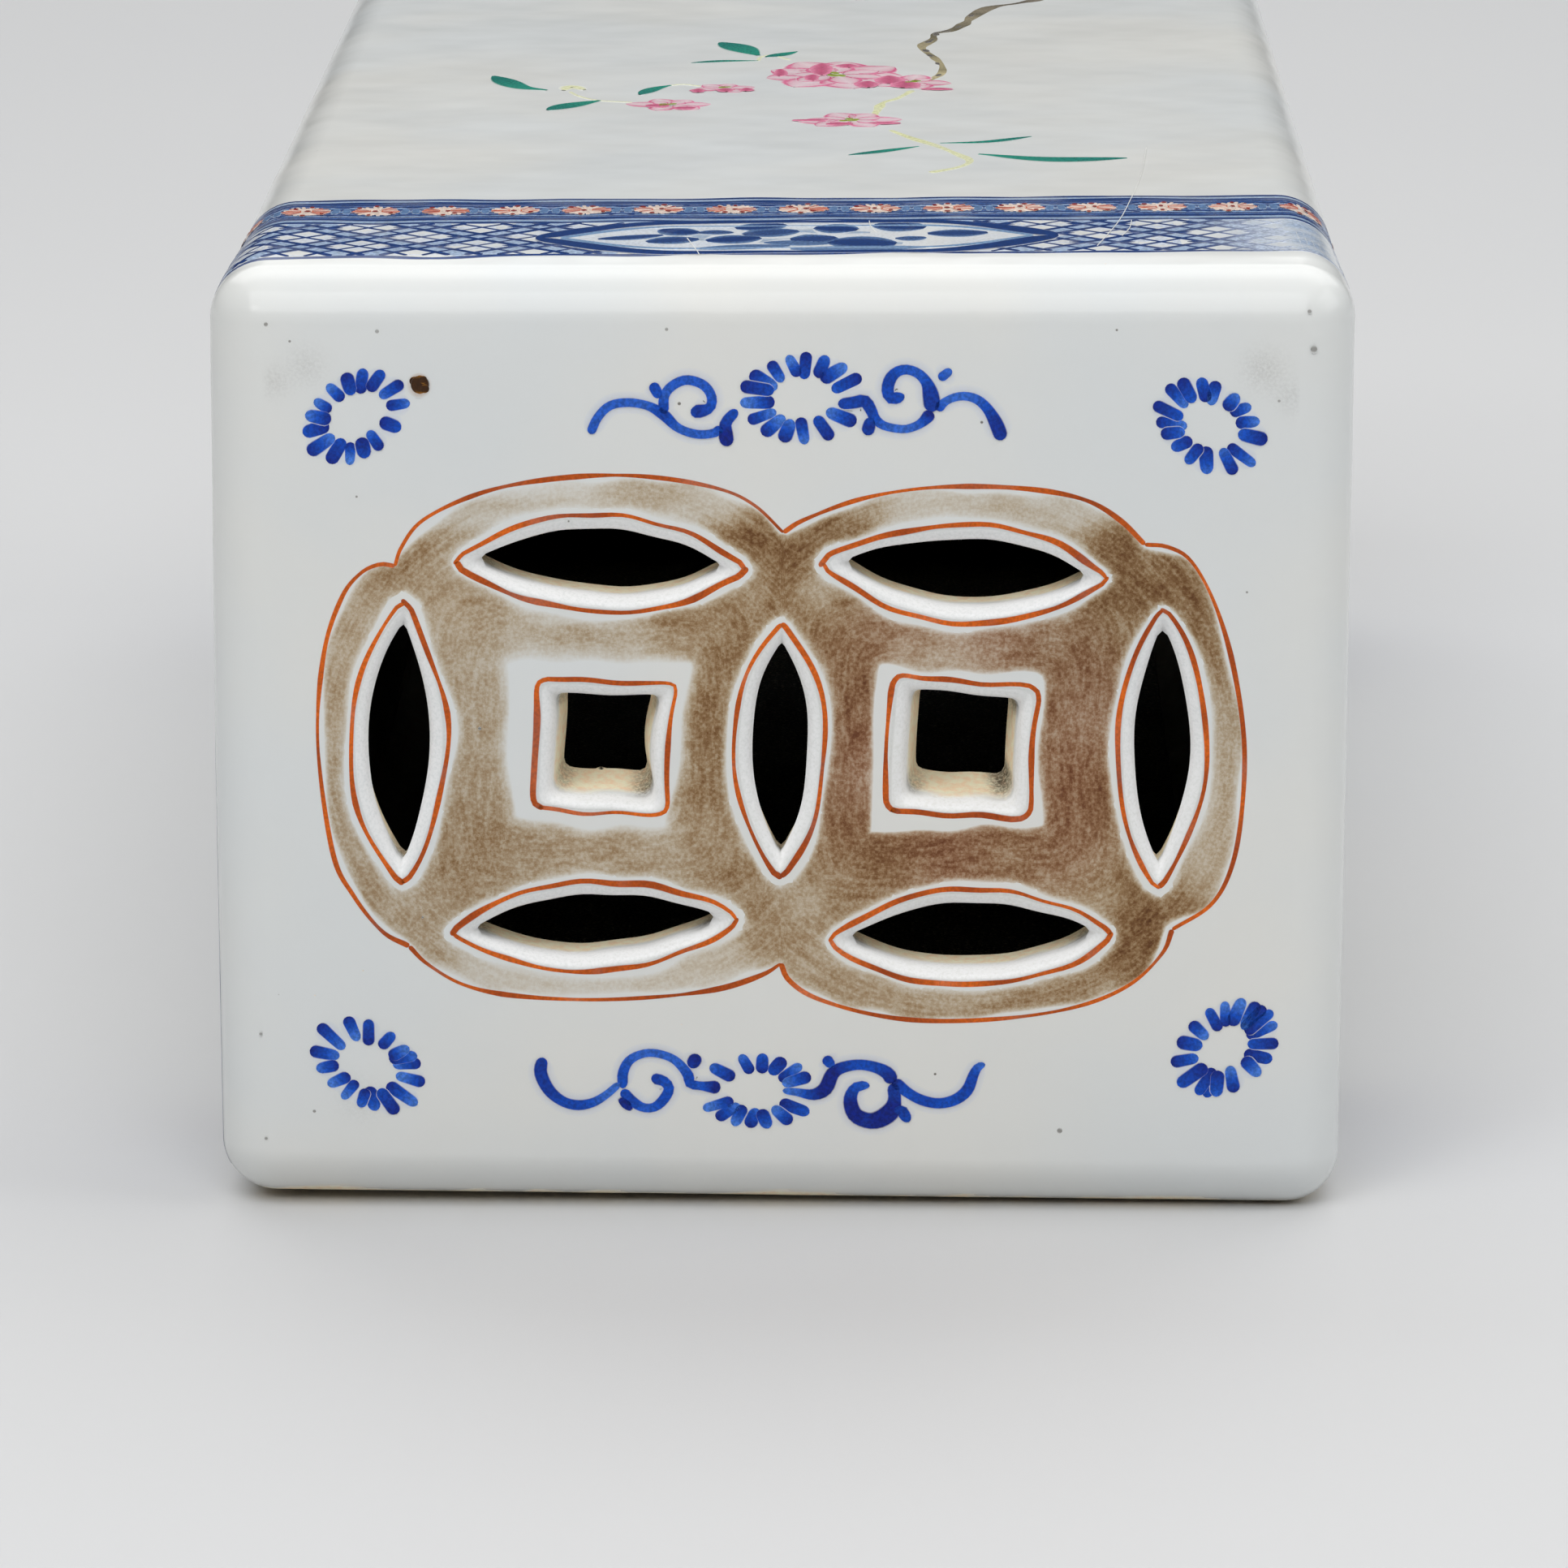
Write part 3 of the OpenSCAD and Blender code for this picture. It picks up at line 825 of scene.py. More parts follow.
class Nodes:
    """Short ways to add and join the nodes of a material."""

    def __init__(self, name):
        self.material = bpy.data.materials.new(name)
        self.material.use_nodes = True
        self.tree = self.material.node_tree
        self.tree.nodes.clear()

    def add(self, kind, **settings):
        """A new node with its settings."""
        node = self.tree.nodes.new("ShaderNode" + kind)
        for key, value in settings.items():
            setattr(node, key, value)
        return node

    def put(self, socket, value):
        """Joins a socket to another, or sets its number or colour."""
        if isinstance(value, bpy.types.NodeSocket):
            self.tree.links.new(value, socket)
        elif np.ndim(value) and len(value) == 3 and socket.type == "RGBA":
            socket.default_value = (*value, 1)
        else:
            socket.default_value = value

    def math(self, operation, *values):
        """A sum of numbers and sockets."""
        node = self.add("Math", operation=operation)
        for socket, value in zip(node.inputs, values):
            self.put(socket, value)
        return node.outputs[0]

    def mix(self, factor, a, b):
        """A colour on the way from one to another."""
        node = self.add("Mix", data_type="RGBA")
        self.put(node.inputs[0], factor)
        self.put(node.inputs[6], a)
        self.put(node.inputs[7], b)
        return node.outputs[2]

    def scaled(self, colour, factor):
        """A colour made brighter or darker."""
        node = self.add("VectorMath", operation="SCALE")
        self.put(node.inputs[0], colour)
        self.put(node.inputs["Scale"], factor)
        return node.outputs[0]

    def stained(self, body, stain, layers):
        """A colour seen through layers that each let a share of red, green and blue through."""
        shares = self.add("SeparateColor")
        self.put(shares.inputs[0], stain)
        passed = self.add("CombineColor")
        for share, socket in zip(shares.outputs, passed.inputs):
            self.put(socket, self.math("POWER", share, layers))
        node = self.add("VectorMath", operation="MULTIPLY")
        self.put(node.inputs[0], body)
        self.put(node.inputs[1], passed.outputs[0])
        return node.outputs[0]

    def range(self, value, low, high, start=0.0, stop=1.0):
        """A smooth rise from start to stop while value goes from low to high."""
        node = self.add("MapRange", interpolation_type="SMOOTHSTEP")
        for socket, given in zip(node.inputs, (value, low, high, start, stop)):
            self.put(socket, given)
        return node.outputs[0]

    def noise(self, place, scale, detail=2.0, roughness=0.5):
        """Soft noise, mostly about a half."""
        node = self.add("TexNoise")
        self.put(node.inputs["Vector"], place)
        self.put(node.inputs["Scale"], scale)
        self.put(node.inputs["Detail"], detail)
        self.put(node.inputs["Roughness"], roughness)
        return node.outputs["Fac"]

    def varied(self, place, share, **noise):
        """A factor about 1 that noise varies by a share either way."""
        return self.range(self.noise(place, **noise), 0.3, 0.7, 1 - share, 1 + share)

    def dots(self, place, scale, share, radius):
        """Round specks in a share of the cells of a loose grid, 1 at their middles."""
        cells = self.add("TexVoronoi")
        self.put(cells.inputs["Vector"], place)
        self.put(cells.inputs["Scale"], scale)
        pick = self.add("SeparateColor")
        self.put(pick.inputs[0], cells.outputs["Color"])
        chosen = self.math("GREATER_THAN", share, pick.outputs[0])
        size = self.math("MULTIPLY_ADD", pick.outputs[1], radius, radius * 0.25)
        close = self.math("DIVIDE", cells.outputs["Distance"], size)
        return self.math("MULTIPLY", chosen, self.range(close, 0.4, 1.0, 1.0, 0.0))

    def shader(self, colour, roughness, bump, strength, depth, specular):
        """A principled surface, and the finished material."""
        surface = self.add("BsdfPrincipled")
        self.put(surface.inputs["Base Color"], colour)
        self.put(surface.inputs["Roughness"], roughness)
        surface.inputs["Specular IOR Level"].default_value = specular
        relief = self.add("Bump")
        relief.inputs["Strength"].default_value = strength
        relief.inputs["Distance"].default_value = depth
        self.put(relief.inputs["Height"], bump)
        self.put(surface.inputs["Normal"], relief.outputs[0])
        output = self.add("OutputMaterial")
        self.put(output.inputs[0], surface.outputs[0])
        return self.material


def clay_colour(nodes, place):
    """Buff unglazed clay with darker grains and brown stains."""
    grain = nodes.noise(place, scale=900, detail=4, roughness=0.65)
    cloud = nodes.noise(place, scale=45, detail=5, roughness=0.65)
    colour = nodes.mix(nodes.range(grain, 0.35, 0.7), CLAY, CLAY_DARK)
    return nodes.mix(nodes.range(cloud, 0.45, 0.75, 0.0, 0.24), colour, STAINED)


def glaze(name, mottle, shine, streaks=0.0, uneven=0.0, gloss=0.13, grit=1.0, stain=False):
    """Glazed porcelain that carries the paint held in a mesh, and is bare clay where the mesh says so.

    mottle is how much the density of the paint varies in small grains, streaks how much along the
    brush, and uneven how much its tone varies. A stain lets the white under it through."""
    nodes = Nodes(name)
    place = nodes.add("TexCoord").outputs["Object"]
    cloud = nodes.noise(place, scale=22, detail=3)
    body = nodes.mix(nodes.range(cloud, 0.3, 0.7), GLAZE_COOL, GLAZE_WARM)
    specks = nodes.dots(place, scale=95, share=0.16 * grit, radius=0.028)
    fine = nodes.dots(place, scale=330, share=0.05 * grit, radius=0.05)
    body = nodes.mix(nodes.math("MULTIPLY", specks, 0.7), body, DIRT_AND_SHADE)
    body = nodes.mix(nodes.math("MULTIPLY", fine, 0.55), body, CLAY_DARK)

    paint = nodes.add("Attribute", attribute_name="paint")
    brush = nodes.add("Attribute", attribute_name="brush")
    grain = nodes.varied(place, mottle, scale=2600, detail=3, roughness=0.6)
    hair = nodes.varied(brush.outputs["Vector"], streaks, scale=1.3, detail=4, roughness=0.6)
    patch = nodes.varied(place, streaks, scale=130, detail=3)
    laid = nodes.math("MULTIPLY", grain, nodes.math("MULTIPLY", hair, patch))
    through = nodes.math("SUBTRACT", 1.0, nodes.math("MINIMUM", paint.outputs["Alpha"], 0.992))
    density = nodes.math("SUBTRACT", 1.0, nodes.math("POWER", through, laid))
    if stain:
        layers = nodes.math("MULTIPLY", paint.outputs["Alpha"], laid)
        colour = nodes.stained(body, paint.outputs["Color"], layers)
    else:
        tone = nodes.varied(place, uneven, scale=2300, detail=3, roughness=0.6)
        colour = nodes.mix(density, body, nodes.scaled(paint.outputs["Color"], tone))

    bare = nodes.add("Attribute", attribute_name="bare").outputs["Fac"]
    # Bare clay with the mesh's paint on it: near black painted shade inside the body, and painted shade
    # deep in the openings' corners.
    bare_and_painted = nodes.mix(density, clay_colour(nodes, place), paint.outputs["Color"])
    colour = nodes.mix(bare, colour, bare_and_painted)

    soft = nodes.range(nodes.noise(place, scale=60, detail=3), 0.3, 0.75, gloss, gloss + 0.07)
    roughness = nodes.range(bare, 0.0, 1.0, soft, 0.82)
    swell = nodes.noise(place, scale=75, detail=2, roughness=0.4)
    pits = nodes.math("MULTIPLY_ADD", nodes.math("MAXIMUM", specks, fine), -0.35, swell)
    clay_grain = nodes.math("MULTIPLY", nodes.noise(place, scale=1500, detail=3, roughness=0.7), bare)
    height = nodes.math("MULTIPLY_ADD", clay_grain, 0.6, pits)
    return nodes.shader(colour, roughness, height, strength=0.35, depth=0.0004, specular=shine)


def biscuit(name):
    """Bare clay for the coils pressed into the corners inside, darkened almost to black: painted shade.
    """
    nodes = Nodes(name)
    place = nodes.add("TexCoord").outputs["Object"]
    grain = nodes.noise(place, scale=1500, detail=3, roughness=0.7)
    height = nodes.math("ADD", grain, nodes.noise(place, scale=180, detail=2))
    roughness = nodes.range(nodes.noise(place, scale=400, detail=2), 0.3, 0.7, 0.75, 0.9)
    colour = nodes.mix(0.85, clay_colour(nodes, place), INSIDE_SHADE)
    return nodes.shader(colour, roughness, height, strength=0.6, depth=0.0003, specular=0.3)


def curve(points, step=0.55):
    """A smooth line through given points, with even steps."""
    given = np.array(points, float)
    padded = np.concatenate([2 * given[:1] - given[1:2], given, 2 * given[-1:] - given[-2:-1]])
    t = np.linspace(0, 1, 13)[:-1, None]
    parts = []
    for a, b, c, d in zip(padded, padded[1:], padded[2:], padded[3:]):
        parts.append(b + 0.5 * t * (c - a + t * (2 * a - 5 * b + 4 * c - d + t * (3 * (b - c) + d - a))))
    dense = np.concatenate([*parts, padded[-2:-1]])
    return even(dense, step)


def way_along(line):
    """How far along a line each of its points lies."""
    steps = np.linalg.norm(np.diff(line[:, :2], axis=0), axis=1)
    return np.concatenate([[0], np.cumsum(steps)])


def even(line, step):
    """A line with points at even steps along it; what else its points carry goes with them."""
    line = np.array(line, float)
    gone = way_along(line)
    count = max(4, round(gone[-1] / step) + 1)
    at = np.linspace(0, gone[-1], count)
    return np.stack([np.interp(at, gone, column) for column in line.T], -1)


# Places across a stroke and the density there; the outermost lie under what is painted on.
FULL = ((-1.12, -0.88, 0, 0.88, 1.12), (0, 1, 1, 1, 0))
WET = ((-1.12, -0.88, -0.4, 0, 0.4, 0.88, 1.12), (0, 1, 0.98, 0.94, 0.98, 1, 0))
LINED = ((-1.1, -0.88, -0.6, 0, 0.6, 0.88, 1.1), (0, 1, 0.45, 0.25, 0.45, 1, 0))
SOFT = ((-1.1, -0.75, -0.4, 0.4, 0.75, 1.1), (0, 0.55, 1, 1, 0.55, 0))
MELTING = ((-1.2, -0.9, -0.55, 0, 0.55, 0.9, 1.2), (0, 0.25, 0.75, 1, 0.75, 0.25, 0))


class Painting:
    """Brush strokes on one surface, gathered into one thin film of paint."""

    def __init__(self, place):
        self.place = place
        self.points, self.normals, self.faces, self.paint = [], [], [], []
        self.count = 0

    def stroke(self, line, half, tint, density=THICK, layer=0, profile=FULL, pointed=False, edge=None):
        """One stroke along a line. Half its width, its colour and its density may vary along it.

        With a colour for its edge, it shades off into that instead of thinning out."""
        line = np.array(line, float)
        table = np.empty((len(line), 7))
        table[:, :2] = line
        table[:, 2] = half
        table[:, 3] = density
        table[:, 4:] = tint
        if not pointed:
            table = self.round_ended(table)
        along = np.gradient(table[:, :2], axis=0)
        along /= np.maximum(np.linalg.norm(along, axis=1, keepdims=True), 1e-9)
        self.strip(table, np.stack([-along[:, 1], along[:, 0]], -1), layer, profile, edge)

    @staticmethod
    def round_ended(table):
        """A stroke's table with more rows at its ends, which are drawn in to half circles."""
        gone = way_along(table)
        length = gone[-1]
        cap = min(table[:, 2].max(), length * 0.45)
        ends = np.array([0, 0.12, 0.35, 0.7]) * cap
        inner = gone[(gone > cap) & (gone < length - cap)]
        stops = np.concatenate([ends, inner, (length - ends)[::-1]])
        table = np.stack([np.interp(stops, gone, column) for column in table.T], -1)
        to_end = np.clip(np.minimum(stops, length - stops) / cap, 0, 1)
        table[:, 2] *= np.sqrt(np.clip(1 - (1 - to_end) ** 2, 0.003, 1))
        return table

    def strip(self, table, across, layer, profile, edge):
        """The film of one stroke: its rim goes into what is under it and its middle stands over that."""
        columns, strengths = (np.array(p, float) for p in profile)
        rows, wide = len(table), len(columns)
        line, half, density, tint = table[:, None, :2], table[:, 2:3], table[:, 3:4], table[:, None, 4:]
        flat = line + across[:, None, :] * (columns * half)[..., None]
        points, normals = fired(*self.place(*flat.reshape(-1, 2).T))
        rise = np.where(np.abs(columns) < np.max(columns), FILM, -RIM) + layer * FILM
        self.points.append(points + normals * np.tile(rise, rows)[:, None])
        self.normals.append(normals)
        tint = np.broadcast_to(tint, (rows, wide, 3))
        if edge is not None:
            tint = between(edge, tint, strengths)
            strengths = np.ones(wide)
        self.paint.append(np.concatenate([tint, (density * strengths)[..., None]], axis=2).reshape(-1, 4))
        quads = np.array(grid_faces(rows, wide))[:, [0, 3, 2, 1]] + self.count
        self.faces += quads.tolist()
        self.count += rows * wide

    def finish(self, name, material):
        """Makes the film as one piece."""
        normals = np.concatenate(self.normals)
        corners = np.array(self.faces).ravel()
        return make_piece(
            name, np.concatenate(self.points), self.faces, normals[corners], material,
            paint=np.concatenate(self.paint),
        )


def swinging(rng, count, low, high, swings=3):
    """A value that drifts between two limits along a stroke."""
    knots = rng.uniform(low, high, swings + 2)
    return np.interp(np.linspace(0, 1, count), np.linspace(0, 1, swings + 2), knots)


def swelling(count, start, stop, power=1.0):
    """Widths along a stroke that swells and thins again, between two places on half a wave."""
    return np.sin(np.linspace(start, stop, count)) ** power


def bulging(t, least):
    """Widths along a round dab, for t from -1 to 1."""
    return np.sqrt(np.clip(1 - t**2, least, 1))


# Flower rings on the ends: middle x and z, half width and height outside and inside, lean, and where the
# petals stand, both in degrees.
RINGS = (
    ((-51.5, 101.7), (7.3, 5.2), (4.3, 2.8), 37,
     (30, 53, 72, 93, 113, 131, 154, 181, 211, 235, 252, 270, 299, 330, 359)),
    ((52.1, 100.6), (7.5, 5.3), (3.9, 2.9), -37,
     (31, 53, 71, 88, 112, 129, 151, 170, 201, 221, 236, 254, 274, 296, 326, 354)),
    ((-51.1, 18.8), (7.9, 5.5), (4.2, 3.0), -36,
     (25, 49, 58, 69, 89, 115, 137, 172, 209, 232, 252, 271, 289, 305, 326, 353)),
    ((55.1, 21.9), (7.5, 5.5), (3.8, 2.7), 39,
     (1, 12, 23, 41, 60, 78, 100, 124, 150, 182, 209, 220, 231, 250, 279, 299, 318, 343)),
    ((2.8, 104.0), (7.8, 5.6), (4.1, 2.9), 2,
     (26, 45, 67, 85, 102, 120, 143, 161, 183, 208, 230, 251, 271, 295, 325)),
    ((-2.7, 15.8), (7.6, 5.0), (4.2, 2.7), -1,
     (27, 46, 64, 86, 107, 141, 210, 229, 248, 262, 281, 304, 327)),
)
# How far the blue bleeds, and how dense that is.
BLEED = 0.9
BLEED_DENSITY = 0.16
# Least and most half width of a petal, and how far it may swirl, in radians.
PETAL_HALF = (0.7, 0.92)
PETAL_SWIRL = 0.14
# Scrolls and their buds between the rings: the points that each brush line passes, with half its width.
SCROLLS = (
    ((-22.9, 99.6, 0.53), (-22.0, 101.6, 0.49), (-20.5, 103.1, 0.49), (-18.3, 103.5, 0.49),
     (-15.9, 103.1, 0.49), (-14.0, 102.0, 0.62), (-12.3, 100.4, 0.49), (-10.1, 99.6, 0.49),
     (-8.0, 99.7, 0.49), (-6.9, 100.4, 0.62)),
    ((-14.0, 102.1, 0.62), (-13.9, 104.3, 0.53), (-12.9, 105.6, 0.53), (-11.2, 106.3, 0.53),
     (-9.2, 105.7, 0.53), (-8.2, 104.3, 0.53), (-8.4, 102.9, 0.57), (-9.9, 102.4, 0.75),
     (-10.7, 102.6, 0.66)),
    ((-15.4, 105.9, 0.62), (-14.4, 104.1, 0.57)),
    ((-5.1, 102.6, 0.55), (-6.4, 101.1, 0.62), (-6.5, 99.7, 0.78), (-6.2, 98.1, 0.75)),
    ((7.1, 103.3, 0.62), (8.9, 103.5, 0.66), (10.3, 103.7, 0.70), (11.1, 102.6, 0.62),
     (11.6, 101.5, 0.56), (12.6, 100.7, 0.48), (14.2, 100.3, 0.46), (15.6, 100.3, 0.46),
     (17.2, 101.0, 0.52), (18.5, 102.4, 0.83)),
    ((18.6, 102.4, 0.93), (18.3, 104.5, 0.87), (17.8, 106.0, 0.62), (16.8, 107.1, 0.54),
     (15.4, 107.6, 0.54), (14.2, 107.3, 0.58), (13.4, 106.4, 0.66), (13.1, 105.1, 0.66),
     (13.5, 104.1, 0.66), (14.6, 104.2, 0.64), (15.1, 104.5, 0.55)),
    ((19.0, 102.6, 0.73), (20.0, 103.6, 0.46), (21.3, 104.2, 0.46), (22.7, 104.3, 0.48),
     (24.1, 103.8, 0.52), (25.3, 102.6, 0.58), (26.3, 100.8, 0.75), (27.0, 98.9, 0.75)),
    ((11.1, 101.7, 0.58), (10.8, 100.3, 0.71), (10.5, 99.5, 0.66)),
    ((19.3, 106.4, 0.55), (20.8, 107.6, 0.46)),
    ((-29.3, 20.0, 0.63), (-29.6, 18.0, 0.72), (-28.6, 15.7, 0.68), (-26.9, 14.2, 0.60),
     (-25.0, 13.7, 0.60), (-23.1, 14.1, 0.53), (-21.4, 15.2, 0.45), (-19.8, 16.7, 0.42)),
    ((-19.4, 16.0, 0.60), (-19.4, 18.0, 0.58), (-18.6, 19.7, 0.53), (-17.0, 20.6, 0.48),
     (-15.3, 20.7, 0.48), (-13.4, 20.1, 0.48), (-12.2, 19.1, 0.53), (-11.3, 17.8, 0.60),
     (-11.0, 16.7, 0.58), (-9.5, 16.4, 0.53), (-7.3, 16.2, 0.96)),
    ((-19.5, 15.8, 0.58), (-18.5, 14.5, 0.63), (-17.0, 13.5, 0.53), (-15.6, 13.5, 0.53),
     (-14.5, 14.4, 0.58), (-13.7, 15.9, 0.58), (-14.2, 16.9, 0.60), (-15.3, 17.3, 0.66),
     (-15.9, 17.3, 0.63)),
    ((-10.1, 20.6, 0.77), (-11.0, 18.8, 0.72)), ((-18.7, 14.3, 1.0), (-19.5, 13.5, 0.96)),
    ((0.4, 15.9, 0.41), (2.2, 15.7, 0.46), (4.2, 15.4, 0.66), (5.7, 16.2, 0.81), (6.6, 18.2, 0.76),
     (7.8, 19.0, 0.66), (9.8, 19.4, 0.61), (11.8, 19.1, 0.64), (13.4, 18.3, 0.76), (14.1, 17.0, 0.81)),
    ((14.1, 17.0, 0.81), (14.3, 15.0, 0.71), (13.9, 13.4, 1.02), (12.6, 12.3, 1.02), (11.1, 12.0, 0.92),
     (9.4, 12.8, 0.87), (8.8, 14.7, 0.76), (9.3, 16.2, 0.61), (10.3, 16.7, 0.56), (11.2, 16.6, 0.51)),
    ((14.1, 17.3, 0.76), (15.9, 15.8, 0.61), (17.7, 14.8, 0.61), (19.8, 14.4, 0.61), (21.8, 14.9, 0.64),
     (23.3, 16.2, 0.66), (24.1, 18.3, 0.56), (24.7, 19.3, 0.46), (25.5, 19.6, 0.41)),
    ((6.7, 19.0, 0.51), (5.6, 20.4, 0.71)),
    ((14.4, 13.1, 0.76), (15.1, 13.4, 0.71), (16.1, 11.9, 0.56)),
)


def blue_stroke(painting, line, half, wet, layer):
    """A stroke of underglaze blue, deeper where it is wetter, with its faint bleed into the glaze."""
    own_height = abs(math.sin(line[0, 0] * 7 + line[0, 1] * 3))
    painting.stroke(line, half + BLEED, COBALT_PALE, BLEED_DENSITY, own_height, SOFT)
    painting.stroke(line, half, ramp(COBALT_PALE, COBALT, COBALT_DEEP, wet), THICK, layer, WET)


def paint_ring(painting, ring, rng):
    """A ring of short petal dabs, each wet at one end and thin at the other."""
    middle, outside, inside, lean, petals = ring
    turn = math.radians(lean)
    spin = np.array([[math.cos(turn), math.sin(turn)], [-math.sin(turn), math.cos(turn)]])
    for petal in petals:
        angle = math.radians(petal)
        swirl = angle + rng.uniform(-PETAL_SWIRL, PETAL_SWIRL)
        start = np.multiply(inside, (math.cos(swirl), math.sin(swirl))) * rng.uniform(0.8, 0.98)
        stop = np.multiply(outside, (math.cos(angle), math.sin(angle))) * rng.uniform(0.97, 1.03)
        line = even([start, stop], 0.3) @ spin + middle
        wet = np.linspace(1.0, rng.uniform(-0.3, 0.6), len(line)).clip(0.02, 1)
        if rng.random() < 0.5:
            wet = wet[::-1]
        half = rng.uniform(*PETAL_HALF) * (0.84 + 0.22 * wet)
        blue_stroke(painting, line, half, wet, 2 + rng.integers(3))


def paint_scrolls(painting, rng):
    """The blue scrolls and buds between the rings, deeper where the brush left more."""
    for points in SCROLLS:
        line = curve(points)
        half = 1.15 * line[:, 2]
        wet = np.clip((half - 0.4) / 0.5, 0.2, 1) * swinging(rng, len(line), 0.8, 1.2, 5)
        blue_stroke(painting, line[:, :2], half, np.clip(wet, 0, 1), 5)


def red_stroke(painting, line, rng, thin, thick):
    """One iron-red line of uneven weight."""
    knots = max(3, len(line) // 7)
    share = swinging(rng, len(line), 0, 1, knots)
    tint = between(IRON_RED, IRON_DARK, share)
    half = thin + (thick - thin) * swinging(rng, len(line), 0, 1, knots) * (0.5 + 0.5 * share)
    painting.stroke(line, half, tint, swinging(rng, len(line), 0.92, THICK, knots), rng.integers(2))


def paint_outlines(painting, rng):
    """Iron-red lines round the openings and round the coins."""
    for name in OPENINGS:
        line = shifted(opening(name, 0), 0.15, 0.14)
        if name[0] == "leaf":
            turns = [line[:LEAF_STEPS + 1], np.concatenate([line[LEAF_STEPS:], line[:1]])]
        else:
            turns = [np.concatenate([line, line[:2]])]
        for turn in turns:
            past = turn[-1] + (turn[-1] - turn[-2]) * rng.uniform(0.2, 0.6)
            red_stroke(painting, even(np.concatenate([turn, past[None]]), 0.6), rng, 0.2, 0.5)
    for lobe in COIN_LOBES:
        red_stroke(painting, curve(lobe, 0.7), rng, 0.18, 0.42)


# The painted band near each end, as distances from that end. It slants a little along its way round.
BAND_FOOT = 11.2
TRELLIS = (11.8, 32.0)
TRELLIS_MIDDLE = sum(TRELLIS) / 2
TRELLIS_HALF = (TRELLIS[1] - TRELLIS[0]) / 2
DIVIDER = 32.7
GROUND = (34.9, 45.9)
BAND_HEAD = 47.9
BAND_SLANT = 0.028
BAND_STOP = FLAT + QUARTER * 1.35 + UPRIGHT
# From one strap to the next on the way round.
STRAP_PITCH = 14.65
# The depth of one row of crossings, and from it to the next.
STRAP_ROW = 23.3
STRAP_RISE = 6.15
# Half a strap's width.
STRAP_HALF = 1.3
# Where straps cross in that row, left and right of the cartouche on the top.
STRAP_STARTS = ((-52.2, -1), (46.7, 1))
# Roundels: from one to the next, where one of them stands, and half their width and height.
ROUNDEL_PITCH = 9.09
ROUNDEL_START = 2.4
ROUNDEL_HALF = (3.1, 2.9)
# How many petals one has, and where its dark dots lie about its middle.
ROUNDEL_RAYS = 22
ROUNDEL_DOTS = ((0.0, 0.1), (0.3, 2.6), (-0.4, -2.6), (1.7, -1.7), (-1.9, 1.5))
# Cartouches in the trellis: middle on the way round and half length.
CARTOUCHES = ((1.85, 32.6), (-MID_SIDE, 30.0), (MID_SIDE, 30.0))
# The share of a cartouche's half length over which it narrows to its tips.
TAPER_SHARE = 0.55
# Its two outlines: how far in each lies, its colour, its weight and its layer.
CARTOUCHE_LINES = ((2.9, BAND_PALE, 0.5, 2), (0.3, BAND_BLUE, 1.1, 3))
# How that weight changes from its middle to its tips.
CARTOUCHE_WEIGHT = ((0.0, 0.4, 0.6, 0.82, 0.93, 0.98, 1.0), (0.5, 0.85, 1.1, 1.5, 1.4, 0.8, 0.2))
# On the front the blue was wiped here before firing, with these fades where that starts and stops.
WIPED = (49.0, 82.0)
WIPED_FADES = (16.0, 14.0)
# The mist that this left, across the trellis.
MISTY = (
    (-1.02, -0.96, -0.7, -0.45, -0.2, 0.1, 0.35, 0.6, 0.85, 0.96, 1.02),
    (0, 0.9, 0.5, 1, 0.6, 0.9, 0.5, 1, 0.7, 0.9, 0),
)
# Lines along the band: their distance from the end and half their weight.
BAND_LINES = (
    (BAND_FOOT, 0.5), (DIVIDER, 0.55), (BAND_HEAD, 0.5), (GROUND[0] + 0.2, 0.7), (GROUND[1] - 0.2, 0.75),
)
# Shares of the way across the ground at which finer dark and pale lines run, and half their weight.
DARK_LINES = (0.16, 0.27, 0.42, 0.6, 0.76, 0.86)
DARK_HALF = 0.36
PALE_LINES = (0.22, 0.5, 0.7)
PALE_HALF = 0.24
# Points along the band are this far apart.
BAND_STEP = 0.9


def wiped(s, end):
    """How much of the blue was wiped away at some places on the way round."""
    start, stop = WIPED
    return smooth((s - start) / WIPED_FADES[0]) * smooth((stop - s) / WIPED_FADES[1]) * (end < 0)


def cartouche_half(share):
    """Half height of a cartouche at some share of the way from its middle to its tips."""
    return TRELLIS_HALF * np.sin(math.pi / 2 * np.clip((1 - np.clip(share, 0, 1)) / TAPER_SHARE, 0, 1))


def clear_of_cartouches(s, depth, gap):
    """Whether places on the trellis are outside every cartouche."""
    shares = np.min([np.abs(s - middle) / half for middle, half in CARTOUCHES], axis=0)
    return (shares > 1) | (np.abs(depth - TRELLIS_MIDDLE) > cartouche_half(shares) + gap)


def runs(line, keep):
    """The stretches of a line whose points are kept."""
    edges = np.flatnonzero(np.diff(np.concatenate([[0], keep.astype(int), [0]])))
    return [line[a:b] for a, b in zip(edges[0::2], edges[1::2]) if b - a > 3]


